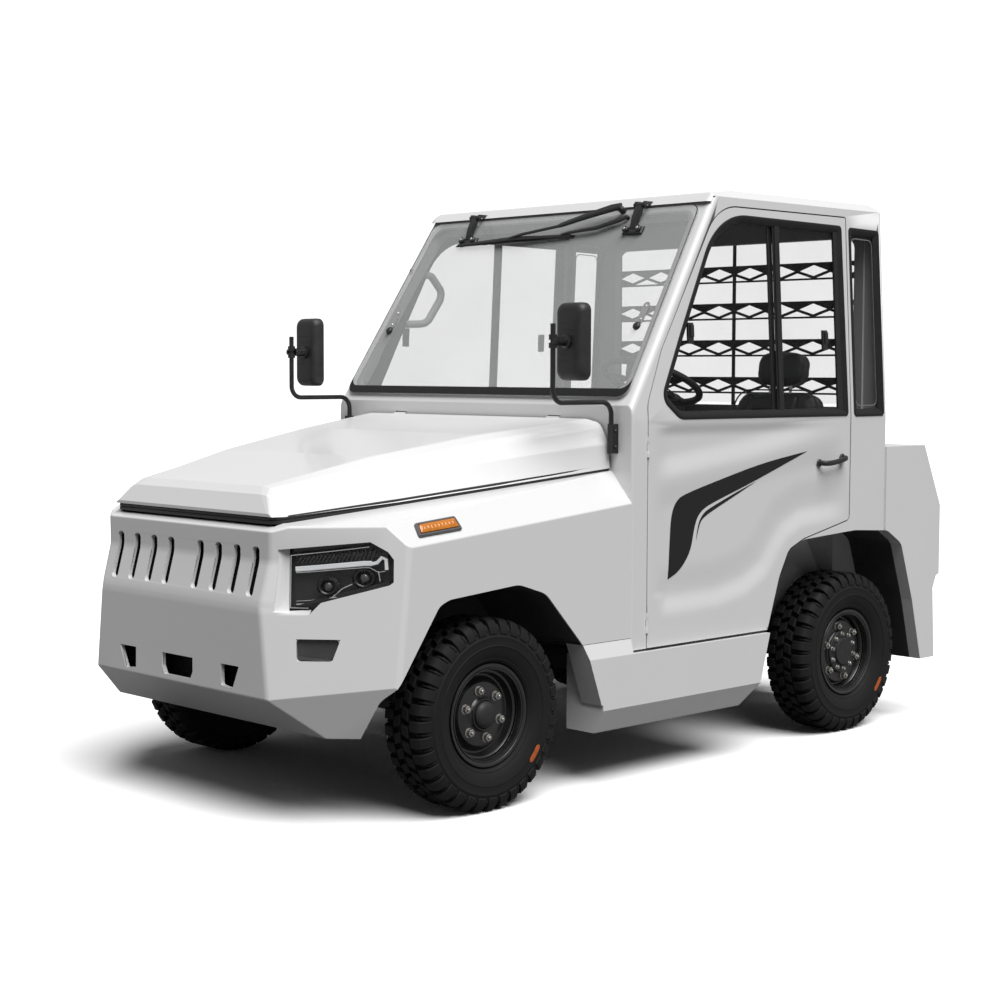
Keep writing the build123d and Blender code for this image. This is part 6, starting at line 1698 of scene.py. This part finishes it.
# ---------------------------------------------------------------- dashboard, column and steering wheel
# The dashboard is one dark grained moulding with an instrument pod, a row of rocker switches and two vents.
# The wheel is soft black polyurethane moulded over a steel core, its rim scalloped for the fingers.
dash_grain = finish("dash_grain", (0.016, 0.016, 0.017), (0.032, 0.032, 0.033), 0.5, 14, 0.52, 0.12, 520, 0.5, 0.0006)
wheel_soft = finish("wheel_soft", (0.009, 0.009, 0.009), (0.02, 0.02, 0.02), 0.5, 30, 0.46, 0.15, 800, 0.35, 0.0004)
dial_face = finish("dial_face", (0.005, 0.005, 0.006), (0.012, 0.012, 0.013), 0.5, 60, 0.14, 0.06, 900, 0.05, 0.0002, Coat_Weight=0.7)
keep_shape({"dashboard": dash_grain, "steering_column": chassis_black})
panel_top, panel_foot = at(-760, 0, 1325), at(-890, 0, 1290)
face_top, face_foot = at(-890, 0, 1290), at(-925, 0, 1230)


def on_dash(y, down, out):
    """A place on the dashboard's slope that faces the driver: across it, down it and out of it."""
    run = (face_foot - face_top).normalized()
    normal = Vector((run.z, 0, -run.x))
    return face_top + Vector((0, y, 0)) / 1000 + (run * down + normal * out) / 1000


def on_shelf(y, back, out):
    """A place on the dashboard's upper shelf: across it, back from its crest and out of it."""
    run = (panel_foot - panel_top).normalized()
    normal = Vector((run.z, 0, -run.x))
    return panel_top + Vector((0, y, 0)) / 1000 + (run * back + normal * out) / 1000


bm = bmesh.new()
pod = []
for back, half, height in ((20, 118, 2), (34, 124, 26), (70, 128, 40), (110, 128, 44), (122, 126, 43)):
    ring = []
    for k in range(13):
        angle = pi * k / 12
        ring.append((372 + half * cos(angle), back, -3 + (height + 3) * sin(angle) ** 0.55))
    pod.append(ring)
layered(bm, pod, on_shelf)
for y in (-520, -160):
    eased_block(bm, (y - 58, 6, 0), (y + 58, 46, 5), on_dash)
for number in range(6):
    y = 60 + 27 * number
    eased_block(bm, (y - 11, 14, 0), (y + 11, 50, 4), on_dash)
pods = piece("instrument_pod", mesh_of(bm, "pods"), dash_grain, "chassis", 35)
bm = bmesh.new()
for number in range(6):
    y = 60 + 27 * number
    eased_block(bm, (y - 8, 18, 4), (y + 8, 46, 8 if number % 2 else 9.5), on_dash)
for y in (-520, -160):
    for fin in range(6):
        eased_block(bm, (y - 52, 11 + fin * 5.4, 5), (y + 52, 13 + fin * 5.4, 8), on_dash, 0.8)
switches = piece("dash_switches", mesh_of(bm, "switches"), latch_plastic, "chassis", 35)
bm = bmesh.new()
for y, radius in ((318, 34), (426, 34), (372, 16)):
    rings = [[(y + r * cos(2 * pi * k / 28), 123 + b, 20 + r * 0.5 * sin(2 * pi * k / 28)) for k in range(28)] for r, b in ((radius, -3), (radius, 1.5), (radius - 2, 3))]
    layered(bm, rings, on_shelf)
dials = piece("dash_dials", mesh_of(bm, "dials"), dial_face, "chassis", 35)

wheel_axis = Vector((-sin(radians(25)), 0, cos(radians(25))))
wheel_middle = at(-1235, 372, 1405)
wheel_across = Vector((0, 1, 0))
wheel_other = wheel_axis.cross(wheel_across)


def on_wheel(across, other, along):
    """A place in the steering wheel's own frame, in millimetres: two ways in its plane and along its axis."""
    return wheel_middle + (wheel_across * across + wheel_other * other + wheel_axis * along) / 1000


bm = bmesh.new()
steps, around = 120, 14
rim = []
for step in range(steps):
    turn = 2 * pi * step / steps
    scallop = 0.5 + 0.5 * cos(turn * 40)
    ring = []
    for k in range(around):
        angle = 2 * pi * k / around
        inward = max(-cos(angle), 0) * max(0.3 - sin(angle), 0)
        reach = 13.8 - 1.7 * scallop * inward
        out = 190 + reach * cos(angle)
        ring.append(bm.verts.new(on_wheel(out * cos(turn), out * sin(turn), reach * sin(angle))))
    rim.append(ring)
for step in range(steps):
    near, far = rim[step], rim[(step + 1) % steps]
    for k in range(around):
        bm.faces.new((near[k], near[(k + 1) % around], far[(k + 1) % around], far[k]))
for number in range(3):
    turn = pi / 2 + 2 * pi * number / 3
    for shift in (-1,):
        rings = []
        for out, half, along, thick in ((34, 20, -18, 8), (60, 16, -13, 6.5), (110, 13, -8, 5.5), (160, 13, -5, 6), (184, 16, -1, 6)):
            ring = []
            for a, b in ((-1, -0.5), (-0.6, -1), (0.6, -1), (1, -0.5), (1, 0.5), (0.6, 1), (-0.6, 1), (-1, 0.5)):
                x, y = out, half * a
                ring.append((x * cos(turn) - y * sin(turn), x * sin(turn) + y * cos(turn), along + thick * b))
            rings.append(ring)
        layered(bm, rings, on_wheel)
rings = []
for radius, along in ((20, -43.5), (40, -43.5), (44, -38), (44, -12), (40, -4), (30, -1.5)):
    rings.append([(radius * cos(2 * pi * k / 36), radius * sin(2 * pi * k / 36), along) for k in range(36)])
layered(bm, rings, on_wheel)
wheel = piece("steering_rim", mesh_of(bm, "steering_rim"), wheel_soft, "steering_wheel", 40)
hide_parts("steering_wheel")
bm = bmesh.new()
rings = []
for radius, along in ((27, -1.6), (27, 0.6), (24, 1.8), (15, 2.6), (6, 2.8)):
    rings.append([(radius * cos(2 * pi * k / 30), radius * sin(2 * pi * k / 30), along) for k in range(30)])
layered(bm, rings, on_wheel)
horn = piece("horn_cap", mesh_of(bm, "horn"), dial_face, "steering_wheel", 40)

# the shroud round the column's head, with its two stalks
bm = bmesh.new()
rings = []
for along, half, tall in ((-62, 30, 26), (-70, 46, 36), (-150, 50, 44), (-190, 40, 38), (-196, 32, 32)):
    ring = []
    for k in range(24):
        angle = 2 * pi * k / 24
        ring.append((half * cos(angle), tall * sin(angle), along))
    rings.append(ring)
layered(bm, rings, on_wheel)
for way in (-1, 1):
    rings = []
    for out, rise, radius in ((40, -96, 6), (90, -90, 5.5), (130, -82, 6.5), (170, -74, 9), (182, -72, 6)):
        rings.append([(way * out, radius * cos(2 * pi * k / 12), rise + radius * sin(2 * pi * k / 12)) for k in range(12)])
    layered(bm, rings, on_wheel)
shroud = piece("column_shroud", mesh_of(bm, "shroud"), dash_grain, "chassis", 40)

# ---------------------------------------------------------------- seats
# Two sprung seats in black vinyl over foam, each sewn from a fluted middle panel between plain bolsters, with
# a separate headrest on two plated posts. They are bolted to a steel plinth painted black.
keep_shape({"seat_plinth": chassis_black})
seat_vinyl = finish("seat_vinyl", (0.020, 0.020, 0.021), (0.036, 0.036, 0.037), 0.5, 11, 0.44, 0.14, 420, 0.55, 0.0006)
seam_cord = finish("seam_cord", (0.010, 0.010, 0.010), (0.022, 0.022, 0.022), 0.5, 40, 0.5, 0.15, 900, 0.4, 0.0003)


def pad_form(name, half_across, half_up, depth, corner, place, crown=10.0):
    """A closed cushion: rounded in plan, crowned on its face and drawn in at its sides."""
    bm = bmesh.new()
    rings = []
    for share, level in ((0.80, 0.0), (0.94, 0.03), (0.985, 0.14), (0.965, 0.45), (0.985, 0.76), (0.94, 0.93), (0.82, 1.0)):
        ring = []
        for cx, cy, start in ((1, 1, 0), (-1, 1, 1), (-1, -1, 2), (1, -1, 3)):
            for k in range(9):
                angle = pi / 2 * (start + k / 8)
                x = cx * (half_across - corner) + corner * cos(angle)
                y = cy * (half_up - corner) + corner * sin(angle)
                ring.append(bm.verts.new(place(x * share, y * share, depth * level)))
        rings.append(ring)
    for near, far in zip(rings, rings[1:]):
        for i in range(len(near)):
            bm.faces.new((near[i], near[(i + 1) % len(near)], far[(i + 1) % len(near)], far[i]))
    for ring, level, way in ((rings[0], 0.0, -0.15), (rings[-1], 1.0, 1.0)):
        inner = []
        for share, rise in ((0.6, 0.5), (0.35, 0.85), (0.12, 1.0)):
            circle = []
            for vertex_number in range(len(ring)):
                cx, cy, start = ((1, 1, 0), (-1, 1, 1), (-1, -1, 2), (1, -1, 3))[vertex_number // 9]
                angle = pi / 2 * (start + vertex_number % 9 / 8)
                x = cx * (half_across - corner) + corner * cos(angle)
                y = cy * (half_up - corner) + corner * sin(angle)
                circle.append(bm.verts.new(place(x * share, y * share, depth * level + crown * rise * way)))
            inner.append(circle)
        chain = [ring, *inner]
        for near, far in zip(chain, chain[1:]):
            for i in range(len(near)):
                bm.faces.new((near[i], near[(i + 1) % len(near)], far[(i + 1) % len(near)], far[i]))
        bm.faces.new(chain[-1])
    bmesh.ops.recalc_face_normals(bm, faces=bm.faces)
    mesh = bpy.data.meshes.new(name)
    bm.to_mesh(mesh)
    bm.free()
    return mesh


def as_seen(thing, name):
    """The mesh of an object with its modifiers applied."""
    bpy.context.view_layer.update()
    seen = thing.evaluated_get(bpy.context.evaluated_depsgraph_get())
    mesh = bpy.data.meshes.new_from_object(seen)
    mesh.name = name
    return mesh


def swollen(mesh, cap, name):
    """The cushion's cover blown up by its filling, no point moving further than the cap, in metres."""
    pad = bpy.data.objects.new(name + "_cover", mesh)
    scene.collection.objects.link(pad)
    fine = pad.modifiers.new("voxels", "REMESH")
    fine.mode = "VOXEL"
    fine.voxel_size = 0.006
    fine.use_smooth_shade = True
    even = as_seen(pad, name)
    pad.modifiers.clear()
    pad.data = even
    at_first = [vertex.co.copy() for vertex in even.vertices]
    cloth = pad.modifiers.new("cover", "CLOTH")
    cloth.settings.quality = 5
    cloth.settings.mass = 0.3
    cloth.settings.use_pressure = True
    cloth.settings.uniform_pressure_force = 4.0
    cloth.settings.effector_weights.gravity = 0.0
    cloth.point_cache.frame_start = 1
    cloth.point_cache.frame_end = 20
    for frame_number in range(1, 21):
        scene.frame_set(frame_number)
    blown = as_seen(pad, name)
    pad.modifiers.clear()
    for vertex, start in zip(blown.vertices, at_first):
        moved = vertex.co - start
        if moved.length > cap:
            vertex.co = start + moved.normalized() * cap
    pad.data = blown
    scene.frame_set(1)
    settle = pad.modifiers.new("settle", "SMOOTH")
    settle.iterations = 3
    finer = pad.modifiers.new("finer", "SUBSURF")
    finer.levels = finer.render_levels = 1
    result = as_seen(pad, name)
    bpy.data.objects.remove(pad)
    return result


def sewn(mesh, unplace, seams, face_level):
    """Draws the cover in along its seams, each a (distance along an axis, axis, low, high, depth, width)."""
    for vertex in mesh.vertices:
        x, y, level = unplace(vertex.co)
        if level < face_level:
            continue
        pull = 0.0
        for value, axis, low, high, deep, wide in seams:
            across, along = (x, y) if axis == "x" else (y, x)
            if low - wide < along < high + wide:
                fade = min((along - low + wide) / wide, (high + wide - along) / wide, 1.0)
                pull = max(pull, deep * fade * exp(-(((across - value) / wide) ** 2)))
        if pull:
            vertex.co -= cushion_out(mesh.name) * pull / 1000


def cushion_out(name):
    """The way a cushion's face looks: up for a seat, forward and a little up for a back or a headrest."""
    if name.startswith("seat_pad"):
        return Vector((0, 0, 1))
    return Vector((cos(radians(9)), 0, sin(radians(9))))


seat_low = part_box("seat_cushion_left")[0]
back_foot = at(-1900, 372, 842.5 + 110 * sin(radians(9))) + Vector((-0.006, 0, 0))
back_up = Vector((-sin(radians(9)), 0, cos(radians(9))))
back_front = cushion_out("back")


def on_cushion(across, along, rise):
    """A place on the left seat cushion: across it, forward along it and up from its base."""
    return at(-1670 + along, 372 + across, 842 + rise)


def off_cushion(place):
    """A place given back in the cushion's own terms."""
    return (place.y * 1000 - 372, (place.x - front_axle_x) * 1000 + 1670, place.z * 1000 - 842)


def on_back(across, up, out):
    """A place on the left seat back: across it, up it from its middle and forward from its rear face."""
    return back_foot + Vector((0, across, 0)) / 1000 + (back_up * (up + 270) + back_front * (out - 108)) / 1000


def off_back(place):
    """A place given back in the seat back's own terms."""
    reach = place - back_foot
    return (reach.y * 1000, reach.dot(back_up) * 1000 - 270, reach.dot(back_front) * 1000 + 108)


flutes = [(y, "y", -118, 118, 7.0, 7.0) for y in (-120, -60, 0, 60, 120)]
bolsters = [(-122, "x", -190, 190, 9.0, 8.0), (122, "x", -190, 190, 9.0, 8.0)]
seat_cover = swollen(pad_form("seat_pad", 222, 217, 96, 60, on_cushion, 8), 0.012, "seat_pad")
sewn(seat_cover, off_cushion, flutes + bolsters, 66)
back_flutes = [(y, "y", -112, 112, 7.0, 7.0) for y in (-160, -96, -32, 32, 96, 160)]
back_bolsters = [(-116, "x", -215, 215, 9.0, 8.0), (116, "x", -215, 215, 9.0, 8.0)]
back_cover = swollen(pad_form("back_pad", 217, 255, 86, 78, on_back, 8), 0.012, "back_pad")
sewn(back_cover, off_back, back_flutes + back_bolsters, 70)


def on_headrest(across, up, out):
    """A place on the left headrest, measured from its own middle."""
    return on_back(across, up + 340, out + 12)


head_cover = swollen(pad_form("head_pad", 117, 68, 70, 50, on_headrest, 7), 0.010, "head_pad")
rings_of = {
    "seat": (216, 211, 62, on_cushion, 90),
    "back": (211, 249, 78, on_back, 82),
}
for side, side_name in ((1, "left"), (-1, "right")):
    across_by = Vector((0, 0 if side > 0 else -0.744, 0))
    for cover, pad_name, node in (
        (seat_cover, f"seat_pad_{side_name}", f"seat_cushion_{side_name}"),
        (back_cover, f"back_pad_{side_name}", f"seat_back_{side_name}"),
        (head_cover, f"head_pad_{side_name}", None),
    ):
        mesh = cover.copy()
        mesh.transform(Matrix.Translation(across_by))
        mesh.name = pad_name
        for face in mesh.polygons:
            face.use_smooth = True
        mesh.materials.clear()
        mesh.materials.append(seat_vinyl)
        pad = bpy.data.objects.new(pad_name, mesh)
        scene.collection.objects.link(pad)
        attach(pad, "chassis")
        if node:
            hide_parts(node)

    bm = bmesh.new()
    for half_across, half_up, corner, place, level in rings_of.values():
        outline = []
        for cx, cy, start in ((1, 1, 0), (-1, 1, 1), (-1, -1, 2), (1, -1, 3)):
            for k in range(9):
                angle = pi / 2 * (start + k / 8)
                outline.append((cx * (half_across - corner) + corner * cos(angle), cy * (half_up - corner) + corner * sin(angle)))
        count = len(outline)
        tube = []
        for i, (x, y) in enumerate(outline):
            run = (Vector(outline[(i + 1) % count]) - Vector(outline[i - 1])).normalized()
            out = Vector((run.y, -run.x))
            ring = []
            for k in range(8):
                angle = 2 * pi * k / 8
                spot = place(x + out.x * 3.2 * cos(angle), y + out.y * 3.2 * cos(angle), level + 3.2 * sin(angle))
                ring.append(bm.verts.new(spot + across_by))
            tube.append(ring)
        for i in range(count):
            near, far = tube[i], tube[(i + 1) % count]
            for k in range(8):
                bm.faces.new((near[k], near[(k + 1) % 8], far[(k + 1) % 8], far[k]))
    piping = piece(f"seat_piping_{side_name}", mesh_of(bm, "piping"), seam_cord, "chassis", 60)
    bm = bmesh.new()
    for y in (-52, 52):
        rings = []
        for up in (238, 300):
            rings.append([(y + 6 * cos(2 * pi * k / 14), up, 54 + 6 * sin(2 * pi * k / 14)) for k in range(14)])
        layered(bm, rings, lambda a, b, c, across_by=across_by: on_back(a, b, c) + across_by)
    posts = piece(f"headrest_posts_{side_name}", mesh_of(bm, "posts"), plated_steel, "chassis", 60)

# ---------------------------------------------------------------- grab handle and guard
# A bent tube handle is bolted inside the right front pillar. The rear window's guard is cut from sheet steel
# and painted black.
keep_shape({"rear_guard": chassis_black})
bm = bmesh.new()
handle_path = [
    at(-985, -744, 1850), at(-1030, -722, 1848), at(-1070, -708, 1836), at(-1112, -700, 1782), at(-1117, -700, 1762),
    at(-1110, -700, 1738), at(-1046, -702, 1652), at(-1030, -704, 1642), at(-1012, -712, 1638), at(-960, -744, 1636),
]
rings = []
for i, spot in enumerate(handle_path):
    run = (handle_path[min(i + 1, len(handle_path) - 1)] - handle_path[max(i - 1, 0)]).normalized()
    across = run.orthogonal().normalized()
    side_way = Vector((0, 1, 0)) - run * run.y
    side_way.normalize()
    other = run.cross(side_way)
    rings.append([tuple(spot + (side_way * cos(2 * pi * k / 14) + other * sin(2 * pi * k / 14)) * 0.016) for k in range(14)])
layered(bm, rings, lambda x, y, z: Vector((x, y, z)))
grab = piece("grab_handle", mesh_of(bm, "grab"), cab_shade_grey, "chassis", 50)

# ---------------------------------------------------------------- side lamps and tail lamps
# Amber side lamps: a faceted lens in a grey bezel, screwed to the fender's band. The tail lamps are three-part
# lenses, red below, clear in the middle and amber above, in black housings screwed to the tail's rear face.
band_from = at(-650, 800, 987)
band_along = (at(399, 800, 895) - band_from).normalized()
band_out = band_along.cross(at(-650, 706, 1094) - band_from).normalized()
if band_out.z < 0:
    band_out = -band_out
band_rise = band_out.cross(band_along)
if band_rise.y > 0:
    band_rise = -band_rise
lamp_middle = at(234, 764, 0)
lamp_middle.z = band_from.z - (band_out.x * (lamp_middle.x - band_from.x) + band_out.y * (lamp_middle.y - band_from.y)) / band_out.z
red_lens = finish("red_lens", (0.42, 0.012, 0.010), (0.28, 0.008, 0.008), 0.6, 60, 0.14, 0.1, 160, 0.25, 0.0008, Coat_Weight=0.8)
clear_lens = finish("clear_lens", (0.55, 0.56, 0.57), (0.4, 0.4, 0.41), 0.6, 60, 0.14, 0.1, 160, 0.25, 0.0008, Coat_Weight=0.8)
for side, side_name in ((1, "left"), (-1, "right")):

    def band_place(along, across, out, side=side):
        place = lamp_middle + (band_along * along + band_rise * across + band_out * out) / 1000
        return Vector((place.x, place.y * side, place.z))

    def lamp_ring(half_long, half_wide, corner, taper, out):
        """A ring round a side lamp, its front end slanted."""
        ring = []
        corners = [(half_long, -half_wide + taper * 0.2), (half_long - taper, half_wide), (-half_long, half_wide), (-half_long, -half_wide)]
        for i, corner_point in enumerate(corners):
            here = Vector(corner_point)
            last, after = Vector(corners[i - 1]), Vector(corners[(i + 1) % 4])
            back, on = (last - here).normalized(), (after - here).normalized()
            for k in range(5):
                share = k / 4
                start, end = here + back * corner, here + on * corner
                middle_point = start.lerp(end, share)
                ring.append((*middle_point.lerp(here, 0.55 * (1 - (2 * share - 1) ** 2)), out))
        return ring

    bm = bmesh.new()
    layered(bm, [lamp_ring(92, 27, 8, 12, -1), lamp_ring(92, 27, 8, 12, 7), lamp_ring(89, 24, 7, 12, 10), lamp_ring(83, 19, 5, 11, 10), lamp_ring(82, 18, 5, 11, 6)], band_place)
    base = piece(f"side_lamp_base_{side_name}", mesh_of(bm, "lamp_base"), lamp_grey, "chassis", 35)
    if side > 0:
        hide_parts("side_lamps")
    bm = bmesh.new()
    layered(bm, [lamp_ring(81, 17.5, 5, 11, 6), lamp_ring(80, 16.5, 5, 11, 12), lamp_ring(72, 9, 3, 9, 15)], band_place)
    for cell in range(9):
        along = -64 + cell * 15
        layered(bm, [[(along - 6, -8, 14.5), (along + 6, -8, 14.5), (along + 6, 8, 14.5), (along - 6, 8, 14.5)], [(along - 1, -3, 16), (along + 1, -3, 16), (along + 1, 3, 16), (along - 1, 3, 16)]], band_place)
    amber_piece = piece(f"side_lamp_lens_{side_name}", mesh_of(bm, "amber"), amber, "chassis", 12)

low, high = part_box("tail_lamps")
for side, side_name in ((1, "left"), (-1, "right")):

    def tail_place(across, up, out, side=side):
        return Vector((-1.5905 - out / 1000, (0.66 + across / 1000) * side, up / 1000))

    bm = bmesh.new()
    eased_block(bm, (-40, 640, 0), (40, 840, 12), tail_place, 3)
    housing = piece(f"tail_lamp_case_{side_name}", mesh_of(bm, "tail_case"), lamp_satin, "chassis", 30)
    if side > 0:
        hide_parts("tail_lamps")
    for low_up, high_up, colour, slot, part in ((648, 732, red_lens, "red_lens", "stop"), (735, 768, clear_lens, "lamp_glass", "reverse"), (771, 832, amber, "amber_lens", "turn")):
        bm = bmesh.new()
        eased_block(bm, (-33, low_up, 11), (33, high_up, 20), tail_place, 4)
        for rib in range(int((high_up - low_up - 12) / 8)):
            eased_block(bm, (-27, low_up + 8 + rib * 8, 19.5), (27, low_up + 12 + rib * 8, 21.6), tail_place, 1)
        part_piece = piece(f"tail_{part}_{side_name}", mesh_of(bm, "tail_lens"), colour, "chassis", 20)
